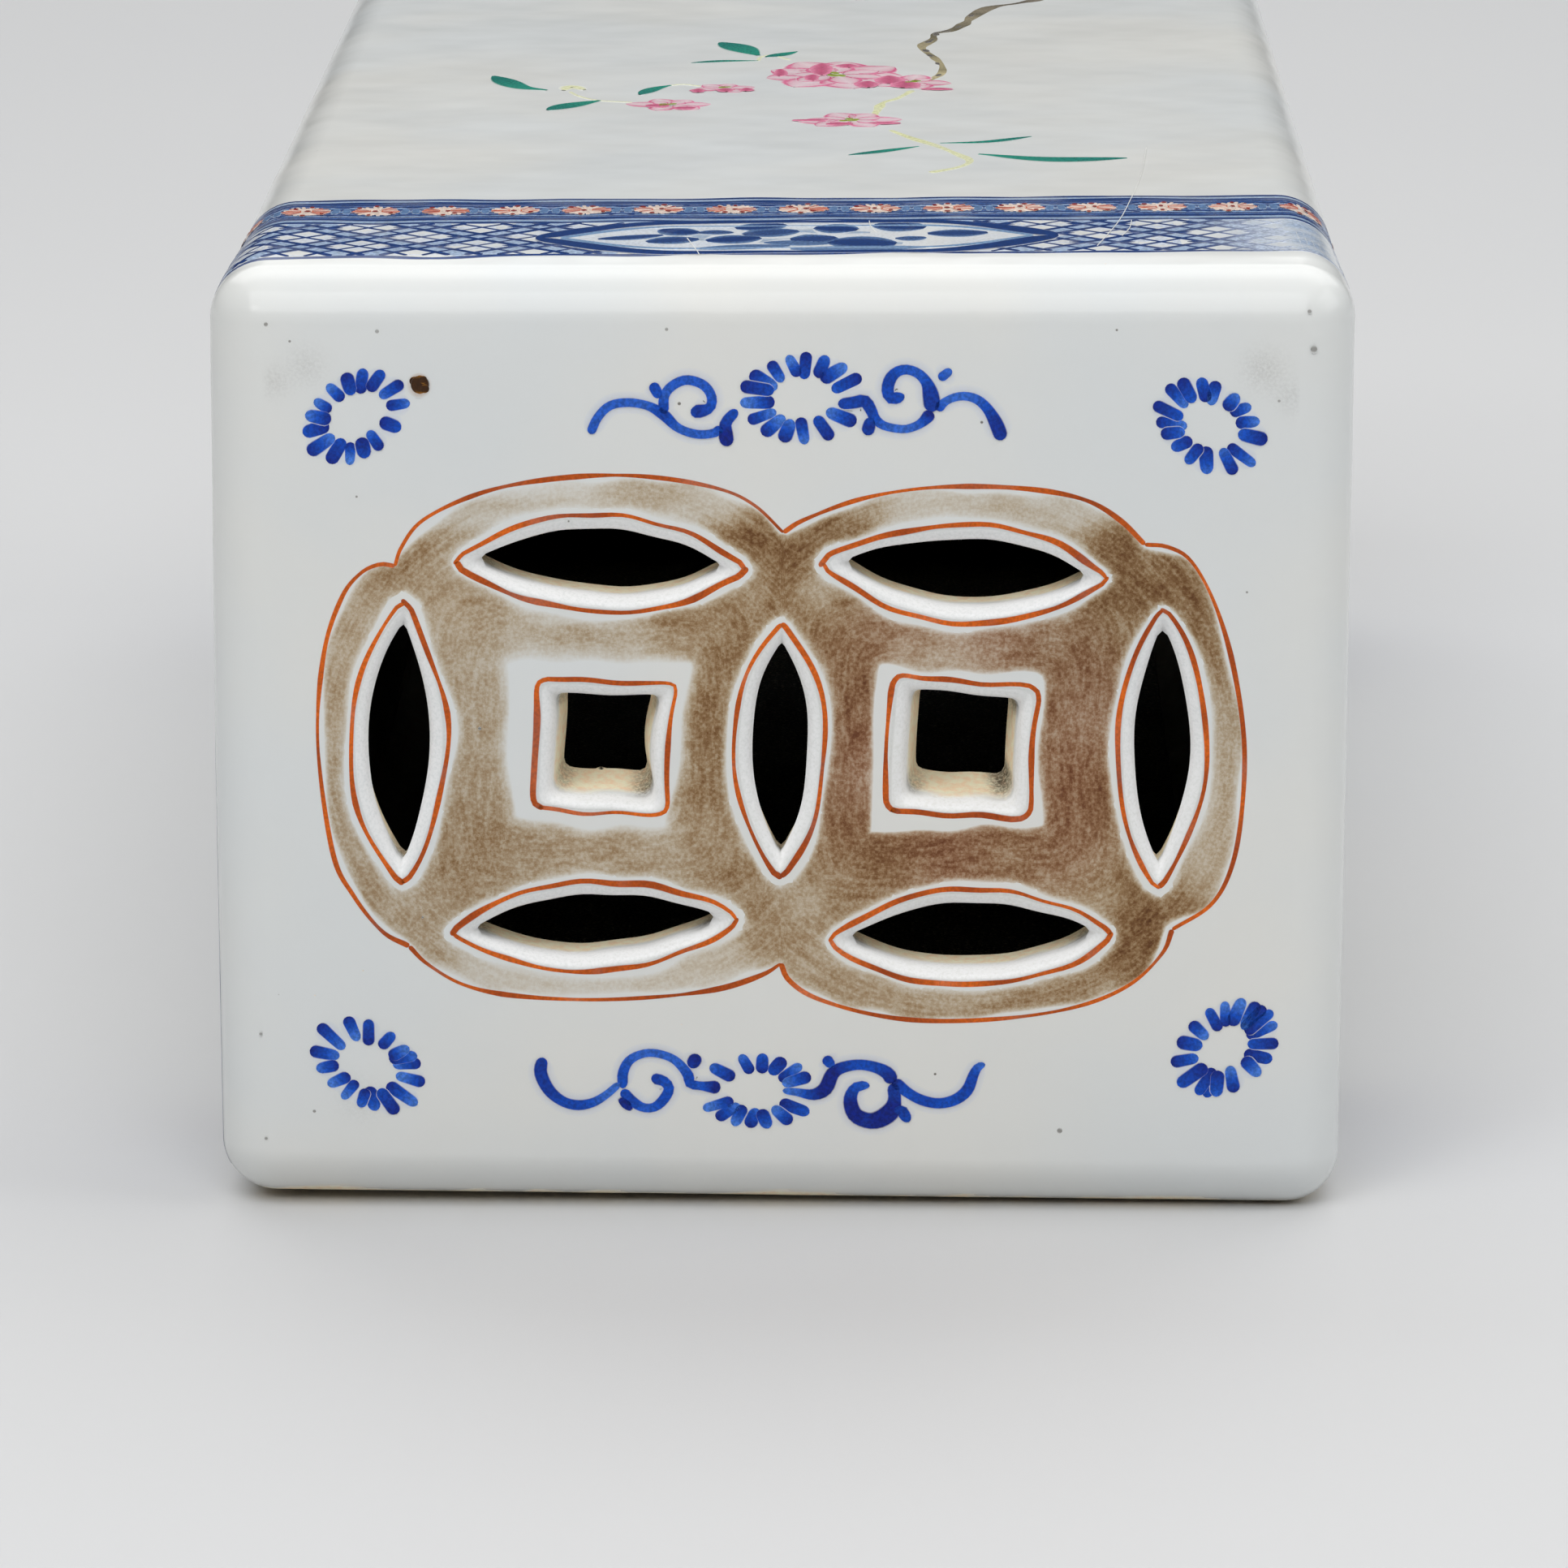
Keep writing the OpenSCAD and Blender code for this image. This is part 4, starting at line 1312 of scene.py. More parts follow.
def paint_band(blue, enamel, end, rng):
    """The band near one end: trellis with pointed cartouches, and a strip of small roundels."""

    def laid(s, depth):
        return np.stack([s, end * (BODY_L / 2 - depth - BAND_SLANT * s)], -1)

    way = np.arange(-BAND_STOP, BAND_STOP, BAND_STEP)
    low, high = GROUND
    fills = [
        (low, high, BAND_WASH, THICK),
        (TRELLIS[1], low, BAND_PALE, 0.8),
        (high, BAND_HEAD, BAND_PALE, 0.7),
    ]
    for near, far, tint, density in fills:
        blue.stroke(laid(way, (near + far) / 2), (far - near) / 2, tint, density)
    lines = [(depth, half, BAND_BLUE) for depth, half in BAND_LINES]
    lines += [(low + share * (high - low), DARK_HALF, BAND_BLUE) for share in DARK_LINES]
    lines += [(low + share * (high - low), PALE_HALF, BAND_PALE) for share in PALE_LINES]
    for depth, half, tint in lines:
        wobble = 0.3 * swing_at(np.stack([way, np.full_like(way, depth)], -1), PATCHY)
        thick = half * swinging(rng, len(way), 0.75, 1.25, 90)
        if depth < DIVIDER:
            tint = between(tint, BAND_MIST, 0.7 * wiped(way, end))
        blue.stroke(laid(way, depth + wobble), thick, tint, swinging(rng, len(way), 0.85, THICK, 90), 1)

    if end < 0:
        s = np.arange(*WIPED, BAND_STEP)
        mist = swinging(rng, len(s), 0.35, 1.1, 12) * wiped(s, end)
        tint = (BAND_PALE + BAND_MIST) / 2
        blue.stroke(laid(s, TRELLIS_MIDDLE), TRELLIS_HALF, tint, mist, -0.5, MISTY, True)
    tinge = swinging(rng, len(way), 0.6, 1.15, 60)
    blue.stroke(laid(way, TRELLIS_MIDDLE), TRELLIS_HALF, BAND_MIST, tinge, -1, MISTY)
    paint_trellis(blue, laid, end, rng)
    for centre, half in CARTOUCHES:
        paint_cartouche(blue, laid, centre, half, rng)
    paint_ground(blue, enamel, laid, rng)


def paint_ground(blue, enamel, laid, rng):
    """The row of roundels on the dark ground, with two dabs and a pair of bows in each gap."""
    middle = sum(GROUND) / 2
    first = math.ceil((-BAND_STOP + 4 - ROUNDEL_START) / ROUNDEL_PITCH)
    last = math.floor((BAND_STOP - 4 - ROUNDEL_START) / ROUNDEL_PITCH)
    for k in range(first, last + 1):
        s = ROUNDEL_START + k * ROUNDEL_PITCH
        paint_roundel(blue, enamel, laid, s, middle, rng)
        gap = s + ROUNDEL_PITCH / 2
        for bow in (-0.85, 0.75):
            dab = even([(gap + bow, middle - 1.6), (gap + bow * 0.8, middle + 1.6)], 0.5)
            blue.stroke(laid(*dab.T), 0.5, (BAND_PALE + BAND_WASH) / 2, THICK, 2)
        for turn in (-1, 1):
            sweep = [(gap + off, middle + turn * up) for off, up in ((-1.6, 3.1), (0, 2.3), (1.6, 3.1))]
            blue.stroke(laid(*curve(sweep, 0.5).T), 0.3, BAND_BLUE, THICK, 2)


def paint_trellis(blue, laid, end, rng):
    """Crossed straps with a finer lattice between them, broken by the cartouches."""
    depth = np.linspace(*TRELLIS, 41)
    half_pitch = STRAP_PITCH / 2
    steep = math.hypot(half_pitch, STRAP_RISE) / STRAP_RISE
    drawn = [(0.0, STRAP_HALF, STRAP_BLUE, 0), (half_pitch, 0.34, BAND_BLUE, 1)]
    drawn += [(side * STRAP_HALF * steep, 0.5, BAND_BLUE, 1) for side in (-1, 1)]
    dart = 0.6 * swelling(9, 0.15, 3.0)

    def draw(s, depth, half, tint, layer, side, pointed=False):
        """One line of the trellis, where no cartouche is in its way."""
        keep = (np.abs(s) < BAND_STOP - 0.4) & clear_of_cartouches(s, depth, 0.1) & (s * side > 0)
        keep &= wiped(s, end) < 0.95
        for part in runs(np.stack([s, depth, np.broadcast_to(half, s.shape)], -1), keep):
            shade = between(tint, BAND_MIST, wiped(part[:, 0], end))
            weight = swinging(rng, len(part), 0.85, THICK, 3)
            blue.stroke(laid(*part[:, :2].T), part[:, 2], shade, weight, layer, FULL, pointed)

    for start, side in STRAP_STARTS:
        for at in start + side * STRAP_PITCH * np.arange(-3, BAND_STOP / STRAP_PITCH):
            for lean in (-1, 1):
                for offset, half, tint, layer in drawn:
                    s = at + offset + lean * (depth - STRAP_ROW) / STRAP_RISE * half_pitch
                    draw(s, depth, half, tint, layer, side)
            for row in (-1, 0, 1):
                for point in (-2.6, 2.6):
                    s = at + row * half_pitch + point + np.linspace(-1.5, 1.5, len(dart))
                    across = np.full(len(dart), STRAP_ROW + row * STRAP_RISE)
                    draw(s, across, dart, BAND_BLUE, 2, side, True)


def paint_cartouche(blue, laid, centre, half, rng):
    """A pointed cartouche with a double outline and a sprig on a faint tinge of blue."""
    share = np.sin(np.linspace(-math.pi / 2, math.pi / 2, 121))
    tinge = swinging(rng, len(share), 0.2, 0.7, 14)
    inside = np.maximum(cartouche_half(np.abs(share)) - 0.5, 0.05)
    blue.stroke(laid(centre + share * half, TRELLIS_MIDDLE), inside, BAND_MIST, tinge, -0.5, MISTY)
    for inset, tint, weight, layer in CARTOUCHE_LINES:
        drawn = share[cartouche_half(np.abs(share)) >= inset]
        for sign in (-1, 1):
            depth = TRELLIS_MIDDLE + sign * (cartouche_half(np.abs(drawn)) - inset)
            line = even(np.stack([centre + drawn * half, depth, np.abs(drawn)], -1), 0.7)
            thick = weight * np.interp(line[:, 2], *CARTOUCHE_WEIGHT)
            thick = thick * swinging(rng, len(line), 0.85, 1.1, 12)
            blue.stroke(laid(*line[:, :2].T), thick, tint, THICK, layer)
    paint_sprig(blue, laid, centre, half / CARTOUCHES[0][1], rng)


# Leaves of the sprig in a cartouche, from its middle: start and stop, half width and density.
SPRIG = (
    ((-24.5, -0.8), (-16.6, 1.7), 0.9, 0.95), ((-18.4, -2.9), (-12.1, -1.1), 1.4, 0.95),
    ((-17.0, 5.3), (-12.1, 3.0), 1.5, 1.0), ((-12.3, 2.8), (-7.9, 2.9), 0.9, 0.85),
    ((-7.7, 5.8), (-1.6, 8.3), 1.5, 1.0), ((-11.1, -2.4), (-4.5, -0.5), 1.6, 1.0),
    ((-6.6, 1.3), (0.1, 3.8), 1.6, 0.9), ((-0.8, -2.0), (4.8, -0.4), 1.8, 0.95),
    ((2.1, 6.0), (7.4, 4.3), 1.8, 1.0), ((3.8, -3.5), (12.2, -4.9), 2.4, 1.0),
    ((9.4, 7.4), (15.8, 5.7), 2.0, 1.0), ((12.1, -1.4), (15.8, -0.6), 0.9, 0.8),
    ((16.1, 1.7), (23.5, 2.2), 1.4, 0.95), ((-12.3, -7.3), (-0.8, -5.9), 0.9, 0.6),
    ((-0.7, -8.0), (15.8, -7.2), 1.0, 0.45), ((-4.0, -3.8), (4.0, -4.6), 1.0, 0.6),
)
# Thin washes under them: start, stop and half width.
SPRIG_WASHES = (((-12, -1.5), (13, -4.6), 2.8), ((-18, 0.5), (-8, 0.2), 2.4), ((-3, 3.6), (9, 2.6), 2.4))


def paint_sprig(blue, laid, centre, size, rng):
    """A dark blue leaf sprig on the white of a cartouche."""
    for start, stop, half in SPRIG_WASHES:
        line = even([start, stop], 0.6)
        shape = half * swelling(len(line), 0.2, 2.95, 0.7) * swinging(rng, len(line), 0.7, 1.2, 6)
        place = laid(centre + line[:, 0] * size, TRELLIS_MIDDLE + line[:, 1])
        blue.stroke(place, shape, BAND_PALE, 0.75, -0.2, MELTING, True)
    for start, stop, half, density in SPRIG:
        bend = rng.uniform(-0.5, 0.5)
        mid = ((start[0] + stop[0]) / 2, (start[1] + stop[1]) / 2 + bend)
        line = curve([start, mid, stop], 0.5)
        shape = 1.95 * half * swelling(len(line), 0.15, 3.0, 0.7)
        tint = between(BAND_PALE, BAND_BLUE, density)
        place = laid(centre + line[:, 0] * size, TRELLIS_MIDDLE + line[:, 1])
        blue.stroke(place, 1.7 * shape, BAND_MIST, 0.7, 0, SOFT, True)
        density = swinging(rng, len(line), 0.95, THICK, 4)
        blue.stroke(place, shape, tint, density, 1, SOFT, True, BAND_PALE)


def paint_roundel(blue, enamel, laid, s, depth, rng):
    """A small cream flower with coral petals and dark dots."""
    wide, high = ROUNDEL_HALF
    t = np.linspace(-1, 1, 15)
    shape = 0.8 * wide * bulging(t, 0.002)
    blue.stroke(laid(np.full_like(t, s), depth + 0.8 * t * high), shape, CREAM, THICK, 3, FULL, True)
    for side in (-1, 1):
        cheek = even([(s + side * 0.7, depth), (s + side * wide, depth)], 0.3)
        flush = 0.62 * high * swelling(len(cheek), 0.9, 3.0)
        enamel.stroke(laid(*cheek.T), flush, CORAL, THICK, 4, SOFT, True, CREAM)
    for k in range(ROUNDEL_RAYS):
        angle = 2 * math.pi * (k + rng.uniform(-0.3, 0.3)) / ROUNDEL_RAYS
        ray = np.array([wide * math.cos(angle), high * math.sin(angle)])
        line = even([ray * 0.3, ray * rng.uniform(0.9, 1.08)], 0.35) + [s, depth]
        if abs(math.cos(angle)) > 0.55 and rng.random() < 0.6:
            tint = between(CORAL, CORAL_DARK, rng.uniform(0.2, 0.9))
            enamel.stroke(laid(*line.T), np.linspace(0.08, 0.2, len(line)), tint, THICK, 6)
        else:
            enamel.stroke(laid(*line.T), np.linspace(0.1, 0.24, len(line)), CREAM, THICK, 5)
    for offset in ROUNDEL_DOTS:
        place = np.add(offset, rng.uniform(-0.5, 0.5, 2)) + [s, depth]
        dot = even([place - [0, 0.5], place + [0, 0.5]], 0.2)
        enamel.stroke(laid(*dot.T), rng.uniform(0.26, 0.42), CORAL_DARK, THICK, 7)


# The flowering spray: each line is drawn as (across, along) from the front edge of the top.
SPRAY_BRANCH = (
    (52, 262), (47, 246), (44, 236), (38, 216), (32.0, 207.5), (27.8, 203.4), (25.3, 195.7),
    (23.8, 188.1), (21.9, 182.2), (19.5, 179.2), (19.2, 174.0), (17.6, 167.0), (19.4, 157.5),
    (20.4, 150.5), (20.1, 143.5), (18.0, 138.0),
)
SPRAY_STEMS = (
    ((16.2, 130), (14.2, 123.7), (12.2, 120), (11.4, 113.5), (10.9, 109.1)),
    ((13.2, 98.4), (16.1, 92.0), (19.1, 86.7), (21.9, 80.4), (23.6, 75.2), (22.2, 70.5), (18.4, 66.5)),
    ((35, 212), (24, 217), (12, 221), (2, 224), (-8, 227)),
    ((44, 236), (34, 246), (22, 250), (12, 246)),
)
SPRAY_BUD = ((-31.9, 130.5), (-31.0, 133.5), (-29.0, 131.0))
# Faint stalks of the loose leaves.
SPRAY_STALKS = (
    ((-31.0, 129.5), (-29.4, 125.5), (-26.5, 122.0), (-22.0, 120.4)),
    ((-17.2, 134.5), (-15.4, 135.4), (-13.0, 133.8)),
    ((-5.5, 155.2), (-5.2, 158.4), (-3.6, 160.2), (-1.0, 156.0)),
)
# Leaves: three points from stalk to tip and the half width.
SPRAY_LEAVES = (
    ((-34.3, 130.6), (-38.5, 133.6), (-42.6, 142.3), 1.9),
    ((-26.5, 122), (-30.8, 117.8), (-33.4, 114.2), 1.8),
    ((-17.2, 134.5), (-19.4, 131.5), (-21.2, 126.6), 1.2),
    ((-5.6, 160), (-8.5, 166.6), (-11.2, 171.2), 2.3),
    ((-5.5, 155.2), (-10.6, 154.9), (-14.9, 153.3), 0.8),
    ((-0.1, 163.2), (-2.2, 160.8), (-4.5, 158.5), 1.2), ((17.0, 85.8), (12.5, 82.5), (7.8, 79.3), 0.95),
    ((19.8, 88.2), (25.7, 89.2), (32.0, 93.2), 0.85), ((24.8, 80.0), (34, 76.0), (44.4, 76.8), 1.75),
    ((35, 212), (41, 214), (47, 212), 2.0), ((38, 222), (45, 220), (51, 215), 2.0),
    ((36, 226), (31, 231), (25, 234), 1.9), ((2, 222), (-4, 219), (-9, 213), 1.8),
    ((-8, 226), (-14, 229), (-21, 229), 2.0), ((14, 246), (8, 243), (3, 237), 1.8),
    ((22, 250), (22, 256), (19, 263), 1.8),
)
# Blossoms: middle, half width, half length, number of petals and how deep their pink is.
SPRAY_FLOWERS = (
    ((5.5, 143), 10.5, 12.6, 9, 0.9), ((16.2, 137), 5.6, 6.0, 5, 1.0), ((7.9, 106), 7.6, 6.0, 6, 0.75),
    ((-16.8, 118.2), 6.2, 5.0, 6, 0.75), ((-9.8, 132), 4.5, 4.0, 5, 0.6),
    ((9.8, 219), 8.5, 9.0, 7, 0.75), ((8.0, 248), 6.0, 6.0, 6, 0.5),
)
# Deep pink touches on the blossoms: middle, half width and half length.
SPRAY_TOUCHES = (
    ((-2.1, 144.6), 0.9, 3.0), ((3.5, 147.5), 1.6, 5.0), ((2.2, 140.5), 1.1, 2.6),
    ((7.1, 150.3), 1.5, 1.6), ((9.9, 134.8), 1.6, 2.6), ((13.1, 138.5), 1.9, 3.4),
    ((15.3, 134.5), 2.3, 2.6), ((19.6, 131.0), 2.2, 0.9), ((2.4, 105.8), 2.4, 0.8),
    ((6.4, 103.0), 1.8, 1.2), ((12.4, 103.4), 2.2, 0.8), ((-13.3, 129.6), 1.0, 1.4),
    ((-9.6, 130.2), 1.2, 1.5), ((-6.6, 130.6), 0.9, 1.4), ((-18.5, 117.5), 1.6, 1.4),
    ((-14.6, 115.6), 1.4, 1.2), ((9.0, 214.0), 3.0, 2.4),
)
# On the long sides the spray is drawn about this place along it, and at this share of its size.
SPRAY_MIDDLE = 160
SIDE_SHARE = 0.8


def top_lay(line):
    """Places on the top for points of the spray."""
    return np.stack([line[:, 0], FRONT + line[:, 1]], -1)


def side_lay(side):
    """The spray turned onto one of the long sides, a little smaller."""

    def lay(line):
        along = (line[:, 1] - SPRAY_MIDDLE) * SIDE_SHARE
        up = line[:, 0] * SIDE_SHARE
        return np.stack([side * MID_SIDE + up, -side * along], -1)

    return lay


def paint_spray(enamel, lay, rng):
    """A flowering branch in overglaze enamels; lay turns its drawing into places on the skin."""
    line = curve(SPRAY_BRANCH, 0.9)
    half = np.linspace(1.2, 0.55, len(line)) * swinging(rng, len(line), 0.55, 1.45, 40)
    bark = ramp(BARK_FAR, BARK, BARK_NEAR, np.linspace(0, 1, len(line)))
    enamel.stroke(lay(line), half, bark * swinging(rng, len(line), 0.45, 1.3, 40)[:, None], THICK, 0, WET)
    for at in rng.choice(len(line) - 2, 22, replace=False):
        knot = line[at:at + 3] + rng.uniform(-0.5, 0.5, 2)
        enamel.stroke(lay(knot), rng.uniform(0.25, 0.5), KNOT, 0.9, 1)
    for points in SPRAY_STEMS:
        line = curve(points, 0.8)
        half = swinging(rng, len(line), 0.35, 0.8, 7)
        enamel.stroke(lay(line), half, STEM_GREEN, swinging(rng, len(line), 0.8, 1.1, 7), 1)
    for *points, half in SPRAY_LEAVES:
        line = curve(points, 0.6)
        along = np.linspace(0, 1, len(line))
        shape = half * np.sin(0.1 + 2.95 * along**1.25) ** 0.8
        tint = between(LEAF_GREEN, LEAF_DARK, smooth(along * 1.3 - 0.2))
        enamel.stroke(lay(line), shape, tint, THICK, 2, WET, True)
    for middle, wide, long, petals, depth in SPRAY_FLOWERS:
        paint_blossom(enamel, lay, np.array(middle), np.array([wide, long]), petals, depth, rng)
    for middle, wide, long in SPRAY_TOUCHES:
        t = np.linspace(-1, 1, 15)
        bend = rng.uniform(-0.3, 0.3) * t**2
        if long > wide:
            touch, half = np.stack([bend * wide, long * t], -1), wide
        else:
            touch, half = np.stack([wide * t, bend * long], -1), long
        shape = half * bulging(t, 0.02) * swinging(rng, len(t), 0.7, 1.1, 4)
        enamel.stroke(lay(np.array(middle) + touch), shape, PINK, 0.9, 5, MELTING, True, PINK_ROSE)
    bud = curve(SPRAY_BUD, 0.4)
    shape = 1.3 * swelling(len(bud), 0.1, 3.05, 0.6)
    enamel.stroke(lay(bud), shape, STEM_GREEN, 0.9, 2, SOFT, True)
    for points in SPRAY_STALKS:
        enamel.stroke(lay(curve(points, 0.6)), 0.28, STEM_GREEN, 0.75, 1)


def paint_blossom(enamel, lay, middle, size, petals, depth, rng):
    """A blossom of broad petals, darker at their rims and hearts, with green stamens."""
    for ring, reach in ((0, 1.0), (1, 0.62)):
        for k in range(petals - 2 * ring):
            angle = 2 * math.pi * (k + 0.5 * ring + rng.uniform(-0.2, 0.2)) / (petals - 2 * ring)
            ray = np.array([math.cos(angle), math.sin(angle)]) * size
            line = even([middle + ray * 0.12, middle + ray * reach * rng.uniform(0.88, 1.05)], 0.6)
            t = np.linspace(0, 1, len(line))
            half = 0.4 * size.min() * reach * np.sin(0.25 + 2.6 * t) ** 0.6
            deep = np.clip(depth * (1.1 * (1 - t) ** 2 + 0.45 * t**3) + rng.uniform(-0.2, 0.2), 0, 1)
            tint = between(PINK_ROSE, PINK, deep)
            enamel.stroke(lay(line), half, tint, THICK, 2 + ring, LINED)
    for _ in range(5):
        at = middle + size * rng.uniform(-0.16, 0.16, 2)
        dab = even([at - [0.5, 0.2], at + [0.5, 0.2]], 0.3)
        enamel.stroke(lay(dab), 0.045 * size.sum(), MOSS, 1.0, 5)


# Where iron came through the glaze of the front end, and its dark cores: offsets from there and reach.
SPOT = (-43.7, 105.6)
SPOT_CORES = ((0.1, 0.1, 1.15), (-0.6, 0.5, 0.6), (0.7, -0.4, 0.55), (0.5, 0.7, 0.5))
# Fine scratches in the glaze of the top, painted white where they catch the light, as (across, along)
# from the front edge.
SCRATCHES = (
    ((47.2, 84.2), (46.0, 66.0), (44.3, 49.8), (41.9, 31.9), (38.7, 15.6)),
    ((43.6, 32.8), (43.1, 27.2), (42.0, 22.2)),
    ((10.7, 32.3), (10.9, 28.4), (11.6, 24.5)),
    ((-11.7, 20.9), (-10.7, 15.4), (-9.9, 10.6)),
)


def paint_scratches(enamel, lay):
    """Hair-fine scratches, painted white where they catch the light in places: a painted highlight."""
    for points in SCRATCHES:
        line = curve(points, 0.8)
        enamel.stroke(lay(line), 0.045, SCRATCH_GLINT, 0.34 + 0.32 * np.sin(1.3 * line[:, 1]), 5)


def paint_spot(enamel):
    """A spot of iron that came through the glaze: dark in the middle, amber round it."""
    t = np.linspace(-1, 1, 17)
    bulge = bulging(t, 0.002)
    x, z = SPOT
    halo = np.stack([np.full_like(t, x), z + 1.6 * t], -1)
    enamel.stroke(halo, 1.5 * bulge, AMBER, 0.5 * bulge, 2, SOFT, True)
    core = between(AMBER, IRON_SPOT, smooth(1.6 * bulge - 0.35))
    for off, up, reach in SPOT_CORES:
        line = np.stack([np.full_like(t, x + off), z + up + reach * t], -1)
        enamel.stroke(line, reach * bulge, core, THICK, 3 + off, FULL, True)


# Specks of iron and soil in the glaze of the front: x, z and half their width.
SPECKS = (
    (-48.8, 112.3, 0.3), (-13.6, 112.5, 0.25), (-51.5, 91.7, 0.18), (-12.1, 103.3, 0.25),
    (64.5, 110.0, 0.5), (63.9, 114.6, 0.3), (60.4, 103.7, 0.22), (24.5, 101.1, 0.22),
    (-64.3, 22.7, 0.25), (-63.9, 8.6, 0.25), (34.8, 11.0, 0.4), (19.3, 18.2, 0.2), (56.9, 80.0, 0.18),
    (-36.7, 62.5, 0.25), (-44.0, 38.4, 0.18), (-62.4, 113.0, 0.3), (-59.5, 111.0, 0.2),
    (40.7, 112.4, 0.18), (-25.6, 88.7, 0.15), (-57.8, 12.5, 0.25),
)


def paint_specks(enamel, rng):
    """Soft dark specks in the glaze."""
    for x, z, half in SPECKS:
        line = even([(x - 0.8 * half, z), (x + 0.8 * half, z + rng.uniform(-0.5, 0.5) * half)], 0.1)
        enamel.stroke(line, half, DIRT_AND_SHADE, rng.uniform(0.45, 0.85), 1, SOFT)


porcelain = glaze("porcelain_glaze", mottle=0.7, shine=0.3)
underglaze = glaze("cobalt_under_glaze", mottle=0.05, uneven=0.3, grit=0.0, shine=0.15)
overglaze = glaze("enamel_over_glaze", mottle=0.05, uneven=0.2, gloss=0.2, grit=0.0, shine=0.15)
wash = glaze("sepia_wash", mottle=0.3, streaks=0.25, gloss=0.22, grit=0.4, shine=0.25, stain=True)
bare_clay = biscuit("bare_biscuit")

inside_w = BODY_W / 2 - WALL_T
inside_top = BODY_H - WALL_T
# A place this close to a seam is on it.
CLOSE = 0.01
top_way = ROUND_GRID[np.abs(ROUND_GRID) < TO_SIDE + CLOSE]
right_way = ROUND_GRID[(ROUND_GRID > TO_SIDE - CLOSE) & (ROUND_GRID < TO_BASE + CLOSE)]
left_way = -right_way[::-1]
lower = HALF_GRID[HALF_GRID > TO_BASE - CLOSE]
base_way = np.concatenate([lower, -lower[-2::-1]])

# Each long wall: its name, its stretch of the way round, its inner corners and the solids it stands for.
walls = (
    ("top_wall", top_way, ((-inside_w, inside_top), (inside_w, inside_top)),
     ("top_slab", "top_left_lute", "top_right_lute", "front_end_top_lute", "rear_end_top_lute")),
    ("right_side_wall", right_way, ((inside_w, inside_top), (inside_w, WALL_T)),
     ("right_side_slab", "front_end_right_lute", "rear_end_right_lute")),
    ("base_wall", base_way, ((inside_w, WALL_T), (-inside_w, WALL_T)),
     ("base_slab", "base_left_lute", "base_right_lute", "front_end_base_lute", "rear_end_base_lute")),
    ("left_side_wall", left_way, ((-inside_w, WALL_T), (-inside_w, inside_top)),
     ("left_side_slab", "front_end_left_lute", "rear_end_left_lute")),
)
for name, way, inner, nodes in walls:
    make_wall(name, way, inner, nodes, porcelain)
make_end("front_end_wall", ("front_end_slab",), porcelain, False)
make_end("rear_end_wall", ("rear_end_slab",), porcelain, True)

# The coils inside are bare clay painted near black: painted shade.
for name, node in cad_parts.items():
    if name.endswith("_coil"):
        node.data.materials.clear()
        node.data.materials.append(bare_clay)

for name, place, seed in (("front", on_front, 41), ("rear", on_rear, 42)):
    rng = np.random.default_rng(seed)
    blue = Painting(place)
    for ring in RINGS:
        paint_ring(blue, ring, rng)
    paint_scrolls(blue, rng)
    blue.finish(name + "_end_cobalt", underglaze)
    make_wash(name + "_end_wash", place, wash)
    red = Painting(place)
    paint_outlines(red, rng)
    if name == "front":
        paint_spot(red)
        paint_specks(red, rng)
    red.finish(name + "_end_iron_red", overglaze)

for name, end, seed in (("front", -1, 51), ("rear", 1, 52)):
    rng = np.random.default_rng(seed)
    blue, enamel = Painting(on_tube), Painting(on_tube)
    paint_band(blue, enamel, end, rng)
    blue.finish(name + "_band_cobalt", underglaze)
    enamel.finish(name + "_band_coral", overglaze)

sprays = (("top", top_lay, 61), ("left_side", side_lay(-1), 62), ("right_side", side_lay(1), 63))
for name, lay, seed in sprays:
    enamel = Painting(on_tube)
    paint_spray(enamel, lay, np.random.default_rng(seed))
    if name == "top":
        paint_scratches(enamel, lay)
    enamel.finish(name + "_spray", overglaze)


# The floor: half its side in metres, and its two greys.
FLOOR_REACH = 6.0
FLOOR_GREYS = srgb(208, 209, 210), srgb(213, 213, 213)
# The lamps, in metres and watts: name, place, what it looks at, width and height, and power.
SOFTBOXES = (
    ("key_softbox", (-0.3, -1.5, 1.85), (0, -0.1, 0.06), (2.4, 1.8), 38),
    ("spark_softbox", (-0.9, -1.5, 1.3), (0, -0.15, 0.06), (0.3, 0.3), 1.6),
    ("overhead_softbox", (0.0, 0.3, 2.1), (0, 0.1, 0.06), (3.0, 2.6), 16),
    ("left_softbox", (-1.7, -0.3, 1.1), (0, 0, 0.06), (1.2, 1.2), 0.7),
    ("right_softbox", (1.7, -0.3, 1.1), (0, 0, 0.06), (1.2, 1.2), 9),
    ("back_softbox", (0.1, 1.85, 2.35), (0, 0.1, 0.06), (5.0, 2.7), 58),
)
# The faint light from all round.
SKY = (0.93, 0.96, 1.0, 1)
SKY_STRENGTH = 0.05
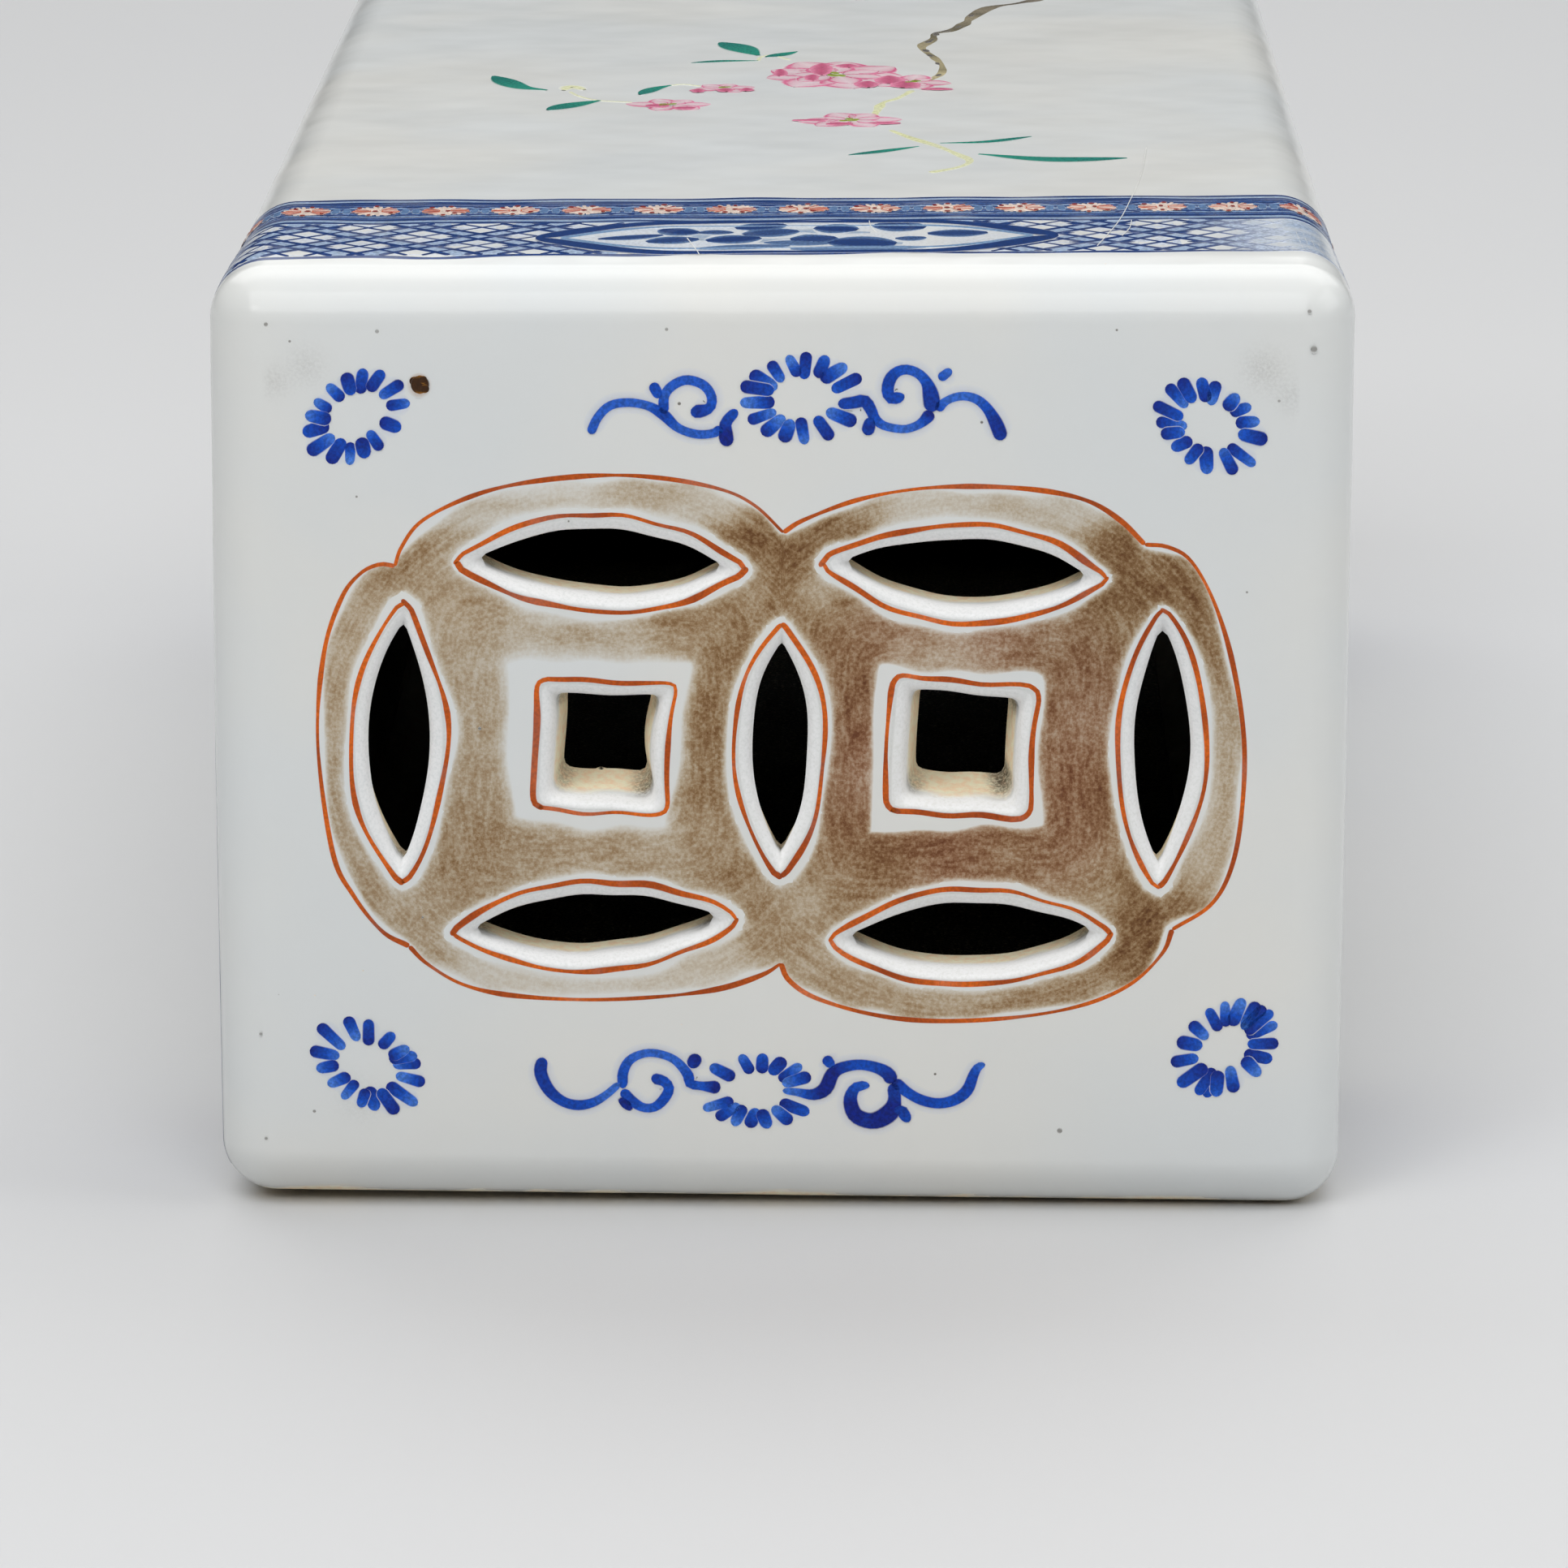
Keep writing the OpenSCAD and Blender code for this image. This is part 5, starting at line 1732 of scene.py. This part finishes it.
# The camera looks 15 degrees down and a little to the left.
CAMERA_PLACE = (0.0141, -1.0258, 0.2863)
CAMERA_TURN = (math.radians(75), 0, math.radians(0.9))
# Focal length and film width, in millimetres.
LENS = 166.9
SENSOR = 36


def make_floor():
    """A plain pale floor with the faintest mottling."""
    nodes = Nodes("pale_floor")
    place = nodes.add("TexCoord").outputs["Object"]
    colour = nodes.mix(nodes.noise(place, scale=3, detail=2), *FLOOR_GREYS)
    grain = nodes.noise(place, scale=400, detail=2)
    material = nodes.shader(colour, 0.55, grain, strength=0.05, depth=0.0002, specular=0.3)
    mesh = bpy.data.meshes.new("floor")
    corners = [(x * FLOOR_REACH, y * FLOOR_REACH, 0) for x, y in ((-1, -1), (1, -1), (1, 1), (-1, 1))]
    mesh.from_pydata(corners, [], [(0, 1, 2, 3)])
    mesh.materials.append(material)
    floor = bpy.data.objects.new("floor", mesh)
    bpy.context.scene.collection.objects.link(floor)


def add_softbox(name, place, aim, size, power):
    """A rectangular lamp that looks at a point."""
    lamp = bpy.data.lights.new(name, "AREA")
    lamp.shape = "RECTANGLE"
    lamp.size, lamp.size_y = size
    lamp.energy = power
    box = bpy.data.objects.new(name, lamp)
    box.location = place
    box.rotation_euler = (Vector(aim) - Vector(place)).to_track_quat("-Z", "Y").to_euler()
    bpy.context.scene.collection.objects.link(box)


def light_and_camera():
    """A studio with soft lamps, and the camera at the front."""
    world = bpy.data.worlds.new("studio")
    world.use_nodes = True
    background = world.node_tree.nodes["Background"]
    background.inputs["Color"].default_value = SKY
    background.inputs["Strength"].default_value = SKY_STRENGTH
    bpy.context.scene.world = world
    bpy.context.scene.view_settings.view_transform = "Standard"
    for softbox in SOFTBOXES:
        add_softbox(*softbox)

    lens = bpy.data.cameras.new("camera")
    lens.sensor_width = SENSOR
    lens.lens = LENS
    camera = bpy.data.objects.new("camera", lens)
    camera.location = CAMERA_PLACE
    camera.rotation_euler = CAMERA_TURN
    bpy.context.scene.collection.objects.link(camera)
    bpy.context.scene.camera = camera


make_floor()
light_and_camera()
